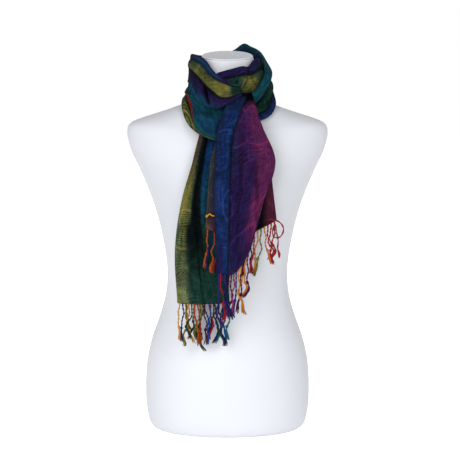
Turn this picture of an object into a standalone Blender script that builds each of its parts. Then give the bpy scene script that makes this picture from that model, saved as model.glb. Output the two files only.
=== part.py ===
"""A pashmina shawl wound and half-knotted round the neck of a limbless dress form.

Run with blender --background --python part.py, or from Blender's text editor. Lengths in the tables are
millimetres; the scene is in metres, +Z up, the form facing -Y, with the origin under the form's flat base.

The shawl is one long cloth. From its two fringed ends it runs: under tail, right loop, left cowl, and back
round the neck as right cowl, left loop, front tail. Each stretch is a thin wall, lofted through sections that
come from a table of stations along the stretch and a table of plies or folds across it.
"""

import math
from collections import namedtuple

import bmesh
import bpy
import numpy as np
from mathutils import Vector
from mathutils.bvhtree import BVHTree

MM = 0.001
GAP = 0.3 * MM  # clearance kept between two pieces that touch
CLOTH = 1.2 * MM  # wall of the folded pashmina
HEM_DEPTH = 3.2 * MM  # height of the knotted strip that heads each fringe
HEM_GAP = 0.75 * MM  # between the cloth's edge and that strip
NECK_AXIS_Y = 12 * MM  # the neck stands this far behind the form's middle plane

# Dress form: horizontal slices, from the base to the top of the neck.
Slice = namedtuple("Slice", "height half_width front back")
FORM_SLICES = (
    Slice(0, 128, 82, 90),
    Slice(3, 140, 93, 101),
    Slice(11, 149, 99, 108),
    Slice(26, 154, 103, 112),
    Slice(55, 158, 105, 115),
    Slice(100, 158.5, 106, 114),
    Slice(140, 155, 105, 108),
    Slice(180, 146, 102, 98),
    Slice(225, 130.5, 97, 86),
    Slice(265, 119.5, 93, 79),
    Slice(305, 116, 92, 78),
    Slice(345, 119, 94, 82),
    Slice(390, 127.5, 98, 89),
    Slice(430, 137.5, 101, 95),
    Slice(470, 151.5, 103, 100),
    Slice(510, 168.5, 100, 104),
    Slice(545, 185, 92, 105),
    Slice(570, 191.5, 83, 103),
    Slice(589, 191, 74, 99),
    Slice(599, 183, 68, 96),
    Slice(607, 164, 64, 92),
    Slice(616, 136, 60, 88),
    Slice(626, 106, 56, 83),
    Slice(637, 79, 52, 78),
    Slice(650, 62, 49, 73),
    Slice(668, 54, 46, 67),
    Slice(695, 51, 43, 62),
    Slice(722, 50, 41, 60),
    Slice(727, 48, 39, 58),
)
NECK_TILT = math.tan(math.radians(6.3))  # the neck's top slopes forward
NECK_TILT_FROM, NECK_TOP = 650 * MM, 727 * MM
NECK_DISH = 3 * MM
BUST_SWELL, BUST_APART, BUST_HEIGHT = 24 * MM, 80 * MM, 462 * MM
BUST_REACH_X, BUST_REACH_Z = 47 * MM, 46 * MM
FORM_AROUND, FORM_RINGS = 36, 26

# Stations along a wrap that goes round the neck. Turn is degrees round the neck's axis: 0 and 360 at the
# front, 90 over the shoulder on +X, 180 at the back. Reach is from the axis to the inside of the band, height
# that of its middle, width from its top edge to its bottom edge, and lean how far its lower edge tips out.
Station = namedtuple("Station", "turn reach height width lean")
UNDER_WRAP = (
    Station(-16, 69, 676, 40, 12),
    Station(8, 71, 681, 46, 14),
    Station(24, 69, 684, 48, 14),
    Station(38, 66, 684, 46, 14),
    Station(52, 62, 688, 54, 12),
    Station(65, 60, 691, 58, 10),
    Station(95, 58, 690, 56, 6),
    Station(130, 66, 680, 54, 4),
    Station(160, 76, 664, 58, 8),
    Station(180, 79, 655, 60, 10),
    Station(210, 80, 652, 60, 12),
    Station(240, 76, 653, 46, 20),
    Station(270, 73, 654, 34, 24),
    Station(298, 76, 647, 44, 22),
    Station(320, 84, 627, 70, 18),
    Station(340, 89, 612, 76, 14),
    Station(356, 91, 604, 66, 10),
    Station(370, 89, 602, 50, 8),
)
OVER_WRAP = (
    Station(2, 81, 628, 42, 8),
    Station(20, 83, 629, 47, 12),
    Station(38, 81, 632, 58, 18),
    Station(50, 79, 643, 66, 16),
    Station(62, 76, 657, 66, 14),
    Station(85, 73, 676, 70, 14),
    Station(110, 75, 686, 70, 10),
    Station(132, 80, 697, 70, 4),
    Station(148, 84, 705, 67, 1),
    Station(160, 88, 711, 65, 0),
    Station(170, 90, 702, 62, 1),
    Station(180, 91, 694, 60, 2),
    Station(205, 90, 691, 58, 2),
    Station(235, 78, 697, 56, 3),
    Station(265, 62, 701, 53, 2),
    Station(295, 62, 698, 57, 5),
    Station(320, 68, 682, 74, 14),
    Station(342, 77, 661, 70, 18),
    Station(354, 80, 656, 60, 16),
    Station(363, 82, 657, 42, 14),
    Station(374, 82, 662, 22, 10),
)
# Plies across a wound stretch, from the inside of its top roll to the inside of its bottom roll. Down is a
# share of the width, out the distance in front of the band's inside. The front pair holds from one shoulder
# over the front; towards the back of the neck each ply runs into its back pair.
Ply = namedtuple("Ply", "name down out back_down back_out")
COWL_RIGHT_PLIES = (
    Ply("inner_lip", 0.34, 0, 0.30, 0),
    Ply("inner_top", 0.08, 0, 0.06, 0),
    Ply("top_roll", -0.05, 4, -0.04, 3),
    Ply("navy_face", 0.10, 9, 0.10, 7),
    Ply("navy_low", 0.33, 8.5, 0.26, 8),
    Ply("olive_tuck", 0.35, 5.5, 0.36, 7),
    Ply("olive_top", 0.43, 13, 0.46, 8),
    Ply("olive_face", 0.60, 16, 0.58, 8.5),
    Ply("olive_low", 0.79, 12, 0.70, 8),
    Ply("low_face", 0.92, 9, 0.86, 7.5),
    Ply("bottom_roll", 1.04, 4, 1.04, 3.5),
    Ply("bottom_lip", 0.92, 0, 0.94, 0),
    Ply("lip_end", 0.74, 0, 0.74, 0),
)
LOOP_LEFT_PLIES = (
    Ply("inner_lip", 0.22, 0, 0.30, 0),
    Ply("inner_top", 0.05, 0, 0.06, 0),
    Ply("top_roll", -0.03, 4, -0.04, 3),
    Ply("teal_top", 0.12, 9, 0.10, 7),
    Ply("teal_face", 0.38, 13, 0.26, 8),
    Ply("teal_low", 0.68, 14, 0.36, 7),
    Ply("red_tuck", 0.66, 7.5, 0.46, 8),
    Ply("red_face", 0.77, 9, 0.58, 8.5),
    Ply("leaf_tuck", 0.84, 8, 0.70, 8),
    Ply("leaf_face", 0.94, 11, 0.86, 7.5),
    Ply("bottom_roll", 1.04, 6, 1.04, 3.5),
    Ply("bottom_lip", 0.96, 0, 0.94, 0),
    Ply("lip_end", 0.80, 0, 0.74, 0),
)
LOOP_RIGHT_PLIES = (
    Ply("inner_lip", 0.22, 0, 0.26, 0),
    Ply("inner_top", 0.05, 0, 0.06, 0),
    Ply("top_roll", -0.03, 5, -0.04, 3),
    Ply("teal_face", 0.12, 11, 0.10, 7),
    Ply("teal_low", 0.40, 13, 0.26, 8),
    Ply("green_tuck", 0.38, 6.5, 0.34, 7),
    Ply("green_face", 0.56, 8, 0.46, 8),
    Ply("green_low", 0.78, 13, 0.58, 8.5),
    Ply("blue_tuck", 0.76, 6.5, 0.70, 7.5),
    Ply("blue_face", 0.90, 10, 0.86, 8),
    Ply("bottom_roll", 1.03, 6, 1.04, 3.5),
    Ply("bottom_lip", 0.95, 0, 0.94, 0),
    Ply("lip_end", 0.82, 0, 0.74, 0),
)
COWL_LEFT_PLIES = (
    Ply("inner_lip", 0.30, 0, 0.26, 0),
    Ply("inner_top", 0.06, 0, 0.06, 0),
    Ply("top_roll", -0.04, 5, -0.04, 3),
    Ply("navy_face", 0.09, 9, 0.10, 7),
    Ply("olive_tuck", 0.17, 6, 0.26, 8),
    Ply("olive_top", 0.22, 13, 0.34, 7),
    Ply("olive_low", 0.49, 14, 0.46, 8),
    Ply("plum_tuck", 0.48, 7.5, 0.58, 8.5),
    Ply("plum_face", 0.68, 11, 0.70, 7.5),
    Ply("plum_low", 0.90, 11, 0.86, 8),
    Ply("bottom_roll", 1.04, 6, 1.04, 3.5),
    Ply("bottom_lip", 0.95, 0, 0.94, 0),
    Ply("lip_end", 0.80, 0, 0.74, 0),
)
FRONT_HOLDS = 105  # a ply keeps its front pair where it is this many degrees or more from the back
BACK_SEAM = (179.9, 180.1)  # two stretches of a wrap end at these turns, parted by a hair
SEAM_EASE = 25  # degrees over which a band's lift starts from nothing at the back
FULL_WIDTH = 70  # a band's width where it is spread widest
FLAT_BELOW = 50  # below this width the plies of a band flatten with it

# Fold edges across a hanging tail, from one selvedge to the other. Top to hem are the fold's X at the
# shares of its own length in TAIL_LEVELS, and start and end its heights.
Fold = namedtuple("Fold", "name top chest bust low hem start end")
TAIL_LEVELS = (0, 0.2, 0.42, 0.7, 1)
# Layers between the folds. Out is the distance in front of the tail's back at the top and at the hem, crown
# how far the panel's middle stands out, and sag how far the middle of its hem hangs below its two ends.
Layer = namedtuple("Layer", "name out_top out_hem crown sag")
# The drape line: how far in front of the form's middle plane the tail's back hangs at each height.
Drape = namedtuple("Drape", "height out")
FOLD_RADIUS = 2.2  # the rounding of a tail's fold edges
TAIL_CURVE = 0.0009  # the tails bend round the chest: depth lost for each square millimetre of X

UNDER_FOLDS = (
    Fold("olive_edge", -46, -62, -84, -98, -94, 612, 270),
    Fold("olive_fold", -30, -46, -60, -58, -46, 614, 268),
    Fold("shade_turn", -44, -62, -78, -71, -56, 614, 268),
    Fold("teal_fold", -4, -8, -6, -2, 4, 616, 270),
    Fold("back_turn", -40, -56, -72, -82, -82, 614, 276),
    Fold("back_edge", -14, -20, -24, -22, -18, 614, 280),
)
UNDER_LAYERS = (
    Layer("olive_panel", 10.5, 13, 2, 0),
    Layer("olive_return", 7.8, 10.2, 0, 0),
    Layer("teal_panel", 5.1, 7.4, 1, 0),
    Layer("back_panel", 2.5, 3.4, 0, 0),
    Layer("back_return", 0, 0, 0, 0),
)
UNDER_DRAPE = (
    Drape(620, 72),
    Drape(590, 80),
    Drape(560, 92),
    Drape(520, 108),
    Drape(480, 121),
    Drape(440, 124),
    Drape(380, 123),
    Drape(265, 119),
)
FRONT_FOLDS = (
    Fold("brown_edge", 8, -9, -28, -36, -41, 650, 414),
    Fold("brown_turn", 23, 16, 12, 13, 14, 652, 386),
    Fold("blue_fold", 2, -18, -23, -23.5, -21, 654, 331),
    Fold("pleat_fold", 38, 12, 5, 3, 0, 660, 329),
    Fold("pleat_turn", 24, 2, -3, -6, -10, 660, 329),
    Fold("plum_fold", 46, 64, 89, 67, 44, 660, 376),
    Fold("dark_turn", 32, 37, 42, 34, 27, 656, 394),
    Fold("dark_edge", 42, 56, 78, 84, 92, 654, 428),
)
FRONT_LAYERS = (
    Layer("brown_panel", 0.6, 0, 0, 0),
    Layer("brown_return", 3.6, 4.4, 0, 0),
    Layer("blue_panel", 12, 13, 1, 0),
    Layer("pleat_return", 9, 10.4, 0, 0),
    Layer("plum_panel", 5.6, 7.6, 2, 20),
    Layer("plum_return", 2.8, 3.8, 0, 0),
    Layer("dark_panel", 0, 0, 1, 0),
)
FRONT_DRAPE = (
    Drape(662, 78),
    Drape(640, 88),
    Drape(610, 104),
    Drape(580, 116),
    Drape(540, 124),
    Drape(490, 133),
    Drape(440, 139),
    Drape(380, 140),
    Drape(325, 138),
)

# Tassels along the hem of each layer: how many, how long, how far their ends drift in X, how much they swing.
Tassels = namedtuple("Tassels", "layer count length drift swing")
UNDER_TASSELS = (
    Tassels("olive_panel", 8, 80, 4, 3.5),
    Tassels("teal_panel", 7, 80, 3, 3.5),
    Tassels("back_panel", 6, 74, -2, 2.5),
    Tassels("back_return", 4, 70, 2, 2.5),
)
FRONT_TASSELS = (
    Tassels("brown_panel", 6, 80, -3, 3),
    Tassels("blue_panel", 4, 90, 3, 3),
    Tassels("plum_panel", 11, 84, -2, 3.5),
    Tassels("dark_panel", 9, 80, -3, 3.5),
)
# Thickness of a tassel down its length: twisted cord, knot, and brush of loose ends.
Ring = namedtuple("Ring", "share radius")
TASSEL_ROOT = 0.9
TASSEL_RINGS = (
    Ring(0.3, 1.2),
    Ring(0.58, 1.2),
    Ring(0.68, 2.1),
    Ring(0.78, 1.6),
    Ring(1, 1.5),
)
TASSEL_APART = 0.9  # least clearance between two tassels
TASSEL_INSET = 4.2  # from a fold's edge to the first tassel beside it
PATH_POINTS, PARTING_ROUNDS = 13, 140
PANEL_STEP = 19  # distance between the samples across a tail's panel
SEED = 11

# The samples of each stretch: along it, and across it.
BAND_ALONG, BAND_ACROSS, TAIL_ALONG = 20, 28, 16
BEND_LENGTH = 5  # a turn of one radian draws as many samples as this length in mm
LIFT_STEPS, LIFT_BLURS = 48, 20  # nodes of a lift field each way, and how often it is eased
FIELD_EDGE = 8  # a tail's lift field goes this far past its folds
RAY_FROM, RAY_TO = 160, -60  # rays that look for what lies under a stretch run between these distances
REST_STEP, REST_MOST = 0.25, 6  # a stretch is raised by this step until it is clear, at most this far


def smooth_through(at, places, values):
    """The cubic curve through the values at their places, each slope taken from its neighbours."""
    places, values = np.asarray(places, float), np.asarray(values, float)
    slopes = np.gradient(values, places)
    left = np.clip(np.searchsorted(places, at) - 1, 0, len(places) - 2)
    span = places[left + 1] - places[left]
    t = np.clip((at - places[left]) / span, 0, 1)
    return (
        (1 + 2 * t) * (1 - t) ** 2 * values[left]
        + t * (1 - t) ** 2 * span * slopes[left]
        + t**2 * (3 - 2 * t) * values[left + 1]
        + t**2 * (t - 1) * span * slopes[left + 1]
    )


def spline_weights(controls, samples):
    """Weights of a clamped uniform cubic B-spline: a row for each of the samples, a column per control."""
    ends = 2
    total = controls + 2 * ends
    spans = total - 3
    place = np.linspace(0, spans, samples)
    first = np.minimum(place.astype(int), spans - 1)
    t = place - first
    basis = np.stack([(1 - t) ** 3, 3 * t**3 - 6 * t**2 + 4, -3 * t**3 + 3 * t**2 + 3 * t + 1, t**3], axis=1)
    weights = np.zeros((samples, controls))
    for k in range(4):
        column = np.clip(first + k - ends, 0, controls - 1)
        np.add.at(weights, (np.arange(samples), column), basis[:, k] / 6)
    return weights


def even_weights(control_line, samples):
    """Spline weights whose samples lie at even steps, closer where the curve of this control line bends."""
    fine = spline_weights(len(control_line), 40 * samples)
    line = fine @ control_line
    steps = np.linalg.norm(np.diff(line, axis=0), axis=1)
    way = np.diff(line, axis=0) / np.maximum(steps[:, None], 1e-9)
    bend = np.concatenate([[0], np.linalg.norm(np.diff(way, axis=0), axis=1)])
    along = np.concatenate([[0], np.cumsum(steps + BEND_LENGTH * bend)])
    picks = np.searchsorted(along, np.linspace(0, along[-1], samples))
    return fine[np.clip(picks, 0, len(fine) - 1)]


def form_ring(place, around):
    """One closed slice of the form at this place in the slice table, as points round it."""
    rows = np.array(FORM_SLICES, float) * MM
    index = np.arange(len(rows))
    height, half, front, back = (smooth_through(place, index, rows[:, k]) for k in range(4))
    angle = np.arange(around) / around * 2 * math.pi
    x, side = half * np.sin(angle), -np.cos(angle)
    y = np.where(side < 0, front, back) * side
    swell = BUST_SWELL * np.exp(
        -(((np.abs(x) - BUST_APART) / BUST_REACH_X) ** 2) - ((height - BUST_HEIGHT) / BUST_REACH_Z) ** 2
    )
    y = y - np.where(side < 0, swell * np.sqrt(np.abs(side)), 0)
    share = np.clip((height - NECK_TILT_FROM) / (NECK_TOP - NECK_TILT_FROM), 0, 1)
    z = height + share * NECK_TILT * (y - NECK_AXIS_Y)
    return np.stack([x, y, z], axis=1)


def form_places():
    """Places in the slice table, closest where the shoulders and the rounded ends turn fastest."""
    rows = np.array(FORM_SLICES, float)
    turn = np.linalg.norm(np.diff(rows[:, :2], axis=0), axis=1)
    along = np.concatenate([[0], np.cumsum(np.sqrt(turn))])
    return np.interp(np.linspace(0, along[-1], FORM_RINGS), along, np.arange(len(rows)))


def dress_form():
    """The limbless form: rings from base to neck, closed by a flat underside and a dished neck top."""
    rings = [form_ring(place, FORM_AROUND) for place in form_places()]
    rim = rings[-1]
    middle = rim.mean(axis=0)
    for share, drop in ((0.86, 0.35), (0.6, 0.8), (0.3, 1)):
        rings.append(middle + (rim - middle) * share - np.array([0, 0, NECK_DISH * drop]))
    made = bmesh.new()
    loops = [[made.verts.new(p) for p in ring] for ring in rings]
    for low, high in zip(loops, loops[1:]):
        for k in range(FORM_AROUND):
            after = (k + 1) % FORM_AROUND
            made.faces.new((low[k], low[after], high[after], high[k]))
    made.faces.new(loops[0][::-1])
    made.faces.new(loops[-1])
    return finished("dress_form", made)


def finished(name, made):
    """Turns a closed bmesh into an object of this name, its faces pointing out."""
    bmesh.ops.recalc_face_normals(made, faces=made.faces)
    if made.calc_volume(signed=True) < 0:
        bmesh.ops.reverse_faces(made, faces=made.faces)
    mesh = bpy.data.meshes.new(name)
    made.to_mesh(mesh)
    made.free()
    mesh.shade_smooth()
    piece = bpy.data.objects.new(name, mesh)
    bpy.context.scene.collection.objects.link(piece)
    return piece


def grid_normals(grid):
    """Unit normals of a grid of points, from the differences along its two directions."""
    normal = np.cross(np.gradient(grid, axis=0), np.gradient(grid, axis=1))
    return normal / np.maximum(np.linalg.norm(normal, axis=2, keepdims=True), 1e-12)


def shell_faces(across, along):
    """Quads of a closed wall: the front sheet, the back sheet turned round, and the rim between them."""
    index = np.arange(across * along).reshape(across, along)
    front = np.stack([index[:-1, :-1], index[1:, :-1], index[1:, 1:], index[:-1, 1:]], axis=-1).reshape(-1, 4)
    back = front[:, ::-1] + across * along
    edge = np.concatenate([index[0, :], index[1:, -1], index[-1, -2::-1], index[-2:0:-1, 0]])
    after = np.roll(edge, -1)
    rim = np.stack([edge, after, after + across * along, edge + across * along], axis=-1)
    return np.concatenate([front, back, rim])


def shell(grid, wall):
    """Points and quads of the wall of this thickness whose middle is the grid."""
    half = grid_normals(grid) * wall / 2
    points = np.concatenate([(grid + half).reshape(-1, 3), (grid - half).reshape(-1, 3)])
    return points, shell_faces(*grid.shape[:2])


def shell_object(name, grid, wall):
    """The wall as an object."""
    points, faces = shell(grid, wall)
    made = bmesh.new()
    corners = [made.verts.new(p) for p in points]
    for face in faces:
        made.faces.new([corners[k] for k in face])
    return finished(name, made)


def tree_of(points, faces):
    return BVHTree.FromPolygons([Vector(p) for p in points], [list(map(int, f)) for f in faces])


def tree_of_object(piece):
    mesh = piece.data
    return tree_of([v.co for v in mesh.vertices], [p.vertices for p in mesh.polygons])


def blurred(field):
    """The field averaged with its neighbours along both directions of the grid."""
    for axis in (0, 1):
        before = np.concatenate([np.take(field, [0], axis), np.delete(field, -1, axis)], axis)
        after = np.concatenate([np.delete(field, 0, axis), np.take(field, [-1], axis)], axis)
        field = (before + 2 * field + after) / 4
    return field


def spread(field):
    """Each node's greatest value among itself and its neighbours along both directions of the grid."""
    for axis in (0, 1):
        before = np.concatenate([np.take(field, [0], axis), np.delete(field, -1, axis)], axis)
        after = np.concatenate([np.delete(field, 0, axis), np.take(field, [-1], axis)], axis)
        field = np.maximum(field, np.maximum(before, after))
    return field


def cubic_taps(at, count):
    """The four nodes round each place of a regular row of nodes, and their Catmull-Rom weights."""
    first = np.clip(np.floor(at).astype(int), 0, count - 2)
    t = np.clip(at - first, 0, 1)
    weights = [
        -t / 2 + t**2 - t**3 / 2,
        1 - 5 * t**2 / 2 + 3 * t**3 / 2,
        t / 2 + 2 * t**2 - 3 * t**3 / 2,
        -(t**2) / 2 + t**3 / 2,
    ]
    return [np.clip(first + k, 0, count - 1) for k in (-1, 0, 1, 2)], weights


class Band:
    """A wound stretch: columns run round the neck, rows from the top edge down."""

    def __init__(self, wrap, plies, first, last):
        self.rows = np.array(wrap, float)
        self.plies = np.array([p[1:] for p in plies], float)
        self.first, self.last = first, last
        self.spans = ((first, last), (-0.12, 1.12))

    def over(self, turn, column):
        """A column of the station table, read at these turns."""
        return smooth_through(turn, self.rows[:, 0], self.rows[:, column])

    def place(self, turn, share, out):
        """Points at these turns, shares of the width below the top edge, and distances from the inside."""
        reach, height, width, lean = (self.over(turn, column) for column in range(1, 5))
        angle, tip, down = np.radians(turn), np.radians(lean), (share - 0.5) * width
        radius = reach + out * np.cos(tip) + down * np.sin(tip)
        return np.stack(
            [
                radius * np.sin(angle) * MM,
                NECK_AXIS_Y - radius * np.cos(angle) * MM,
                (height - down * np.cos(tip) + out * np.sin(tip)) * MM,
            ],
            axis=-1,
        )

    def samples(self):
        """Turn, share and distance of each sample of the middle surface."""
        turns = np.linspace(self.first, self.last, BAND_ALONG)
        away = np.clip(np.abs(turns - 180) / FRONT_HOLDS, 0, 1)
        front = away**2 * (3 - 2 * away)
        down, out, back_down, back_out = self.plies.T
        line = np.stack([(down + back_down) / 2 * FULL_WIDTH, (out + back_out) / 2], axis=1)
        weights = even_weights(line, BAND_ACROSS)
        shares = weights @ (back_down[:, None] + (down - back_down)[:, None] * front)
        outs = weights @ (back_out[:, None] + (out - back_out)[:, None] * front)
        outs = outs * np.minimum(self.over(turns, 3) / FLAT_BELOW, 1)
        return np.broadcast_to(turns, shares.shape), shares, outs

    def held(self, turn):
        """How much of its lift a column takes: none at the back, where the stretch meets the next one."""
        return np.clip(np.abs(turn - 180) / SEAM_EASE, 0, 1)


class Tail:
    """A hanging stretch: fold edges run down it, and its layers lie over each other."""

    def __init__(self, folds, layers, drape):
        self.folds = np.array([f[1:] for f in folds], float)
        self.layers = np.array([p[1:] for p in layers], float)
        self.names = [p.name for p in layers]
        self.drape = np.array(drape, float)[::-1]
        edges = self.folds[:, :5]
        heights = self.folds[:, 5:]
        self.spans = tuple((part.min() - FIELD_EDGE, part.max() + FIELD_EDGE) for part in (edges, heights))

    def place(self, x, height, out):
        """Points at these X and heights, and distances in front of the drape line."""
        depth = smooth_through(height, *self.drape.T) + out - TAIL_CURVE * x**2
        return np.stack([x * MM, -depth * MM, height * MM], axis=-1)

    def section(self, places, share):
        """X, height and distance of the section at this share of the length, at these places across it.

        A place is the number of a layer plus the share of the way across that layer.
        """
        layer = np.clip(places.astype(int), 0, len(self.layers) - 1)
        part = places - layer
        edge = np.array([smooth_through(share, TAIL_LEVELS, row[:5]) for row in self.folds])
        level = self.folds[:, 5] + (self.folds[:, 6] - self.folds[:, 5]) * share
        out_top, out_hem, crown, sag = self.layers.T
        outs = out_top + (out_hem - out_top) * share
        x0, x1 = edge[layer], edge[layer + 1]
        ease = (1 - np.cos(math.pi * part)) / 2
        reach = np.clip(2 * FOLD_RADIUS / np.maximum(np.abs(x1 - x0), 4 * FOLD_RADIUS), 0, 0.5)
        turn = np.arccos(1 - 2 * reach) / math.pi
        before = outs[np.maximum(layer - 1, 0)]
        after = outs[np.minimum(layer + 1, len(outs) - 1)]
        own = outs[layer]
        near = 1 - np.sin(math.pi / 2 * np.clip(part / turn, 0, 1))
        far = 1 - np.sin(math.pi / 2 * np.clip((1 - part) / turn, 0, 1))
        swell = np.sin(math.pi * part) ** 2
        return (
            x0 + (x1 - x0) * ease,
            level[layer] + (level[layer + 1] - level[layer]) * ease - sag[layer] * swell * share**3,
            own + (before - own) / 2 * near + (after - own) / 2 * far + crown[layer] * swell * share,
        )

    def across(self):
        """Places of the samples: each fold's edge, both ends of its rounding, and steps over each panel."""
        places = []
        widths = np.abs(np.diff(self.folds[:, :5], axis=0)).mean(axis=1)
        for layer, width in enumerate(widths):
            steps = max(1, round(width / PANEL_STEP))
            round_off = min(FOLD_RADIUS / width, 0.3)
            over = np.linspace(round_off, 1 - round_off, steps + 1)
            places += [layer, *(layer + np.arccos(1 - 2 * over) / math.pi)]
        return np.array([*places, len(self.layers)])

    def samples(self):
        """X, height and distance of each sample of the middle surface."""
        rows = [self.section(self.across(), share) for share in np.linspace(0, 1, TAIL_ALONG)]
        return tuple(np.stack(part, axis=1) for part in zip(*rows))

    def held(self, x):
        """How much of its lift a column takes: all of it, everywhere."""
        return np.ones_like(x)


class Laid:
    """A stretch lifted clear of what lies under it by one smooth field, the same for all of its layers."""

    def __init__(self, stretch, trees, rest):
        self.stretch, self.trees = stretch, trees
        steps = [np.linspace(*span, LIFT_STEPS) for span in stretch.spans]
        a, b = np.meshgrid(*steps, indexing="ij")
        need = np.maximum(self.obstacle(a, b) + rest, 0)
        lift = need
        for _ in range(LIFT_BLURS):
            lift = np.maximum(need, blurred(lift))
        self.lift = blurred(lift) * stretch.held(a)

    def obstacle(self, a, b):
        """How far out the stretches and the form reach at each node, by rays cast from outside."""
        starts, ends = (self.stretch.place(a, b, np.full(a.shape, out)) for out in (RAY_FROM, RAY_TO))
        found = np.full(a.shape, float(RAY_TO))
        for spot in np.ndindex(a.shape):
            start = Vector(starts[spot])
            way = Vector(ends[spot]) - start
            hits = [tree.ray_cast(start, way, way.length)[3] for tree in self.trees]
            depth = min((hit for hit in hits if hit is not None), default=None)
            if depth is not None:
                found[spot] = RAY_FROM - depth / MM
        return spread(found)

    def points(self, a, b, out):
        """Points of the middle surface, lifted."""
        at = [
            (value - span[0]) / (span[1] - span[0]) * (LIFT_STEPS - 1)
            for value, span in zip((a, b), self.stretch.spans)
        ]
        rows, row_weights = cubic_taps(at[0], LIFT_STEPS)
        columns, column_weights = cubic_taps(at[1], LIFT_STEPS)
        lift = sum(
            self.lift[row, column] * row_weight * column_weight
            for row, row_weight in zip(rows, row_weights)
            for column, column_weight in zip(columns, column_weights)
        )
        return self.stretch.place(a, b, out + np.maximum(lift, 0))

    def grid(self):
        """The middle surface as a grid of points."""
        return self.points(*self.stretch.samples())


def settled(stretch, trees):
    """The stretch laid as close as it goes with its wall, and a gap, clear of everything under it."""
    for extra in np.arange(0, REST_MOST, REST_STEP):
        laid = Laid(stretch, trees, (CLOTH / 2 + GAP) / MM + extra)
        test = tree_of(*shell(laid.grid(), CLOTH + 2 * GAP))
        if not any(test.overlap(tree) for tree in trees):
            break
    return laid


def tassel_places(tail, tassels, random):
    """Where each tassel is rooted across the tail, with its length and its row, side to side."""
    found = []
    ends = tail.folds[:, 4]
    for row in tassels:
        layer = tail.names.index(row.layer)
        width = abs(ends[layer + 1] - ends[layer])
        room = min(TASSEL_INSET / width, 0.35)
        for share in np.linspace(room, 1 - room, row.count):
            place = layer + math.acos(1 - 2 * share) / math.pi
            found.append((place, row.length * random.uniform(0.86, 1.1), row))
    return sorted(found, key=lambda item: item[0])


class Hem:
    """The lower edge of a laid tail: its points, with the directions down and out of the cloth."""

    def __init__(self, laid):
        self.tail = laid.stretch
        self.places = self.tail.across()
        grid = laid.grid()
        points, above = grid[:, -1], grid[:, -2]
        down = points - above
        down /= np.linalg.norm(down, axis=1, keepdims=True)
        aside = np.diff(points, axis=0)
        aside /= np.linalg.norm(aside, axis=1, keepdims=True)
        slope = np.linalg.norm(np.cross(aside, down[1:]), axis=1)
        gap = HEM_GAP / np.maximum(np.minimum(np.append(slope, 1), np.append(1, slope)), 0.25)[:, None]
        self.rows = np.concatenate([points, down, grid_normals(grid)[:, -1], gap], axis=1)

    def at(self, place):
        """The point, down and out at this place across the tail, and the gap from the hem to its strip."""
        row = np.array([np.interp(place, self.places, column) for column in self.rows.T])
        return row[:3], row[3:6], row[6:9], row[9]


def tassel_paths(hem, tassels, random):
    """Middle lines of the tassels: they leave the hem strip straight down, then swing a little."""
    paths = []
    steps = np.linspace(0, 1, PATH_POINTS)
    for place, length, row in tassel_places(hem.tail, tassels, random):
        here, down, _, gap = hem.at(place)
        start = here + down * (gap + HEM_DEPTH)
        phase, turns = random.uniform(0, 2 * math.pi), random.uniform(0.7, 1.3)
        drift = (row.drift + random.normal(0, 4)) * steps**1.5
        wave = row.swing * np.sin(2 * math.pi * turns * steps + phase) * steps
        path = np.stack([drift + wave, random.normal(0, 1.5) * steps, -length * steps], axis=1) * MM
        ease = np.minimum(steps * 5, 1)[:, None]
        straight = down * (length * MM * steps)[:, None]
        paths.append(start + straight * (1 - ease) + path * ease)
    return paths


def parted(paths, trees):
    """The middle lines moved apart from each other and out of the layers behind them, roots held."""
    line = np.array(paths)
    count, points = line.shape[:2]
    steps = np.linspace(0, 1, points)
    shares, radii = zip((0, TASSEL_ROOT * 1.4), *TASSEL_RINGS)
    radius = np.interp(steps, shares, radii)
    hold = np.minimum(steps * 4, 1)[None, :, None]
    least = (np.tile(radius, count)[:, None] + np.tile(radius, count)[None, :] + TASSEL_APART) * MM
    own = np.repeat(np.arange(count), points)
    other = own[:, None] != own[None, :]
    for _ in range(PARTING_ROUNDS):
        flat = line.reshape(-1, 3)
        apart = flat[:, None] - flat[None]
        apart[..., 2] *= 0.6
        distance = np.linalg.norm(apart, axis=2)
        near = np.where(other, np.maximum(least - distance, 0), 0)
        apart[..., 2] = 0
        push = (apart / np.maximum(distance, 1e-6)[..., None] * near[..., None]).sum(axis=1) * 0.4
        line = line + push.reshape(line.shape) * hold
        for spot in np.ndindex(count, points):
            point = Vector(line[spot])
            room = (radius[spot[1]] * 1.3 + 2 * TASSEL_APART) * MM
            for tree in trees:
                near_point, _, _, depth = tree.find_nearest(point, room)
                if near_point is not None:
                    away = np.array(point - near_point) / max(depth, 1e-6)
                    line[spot] += away * (room - depth) * hold[0, spot[1], 0] * 0.8
        inner = (line[:, :-2] + 2 * line[:, 1:-1] + line[:, 2:]) / 4
        line[:, 1:-1] += (inner - line[:, 1:-1]) * 0.3 * hold[:, 1:-1]
    return line


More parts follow.
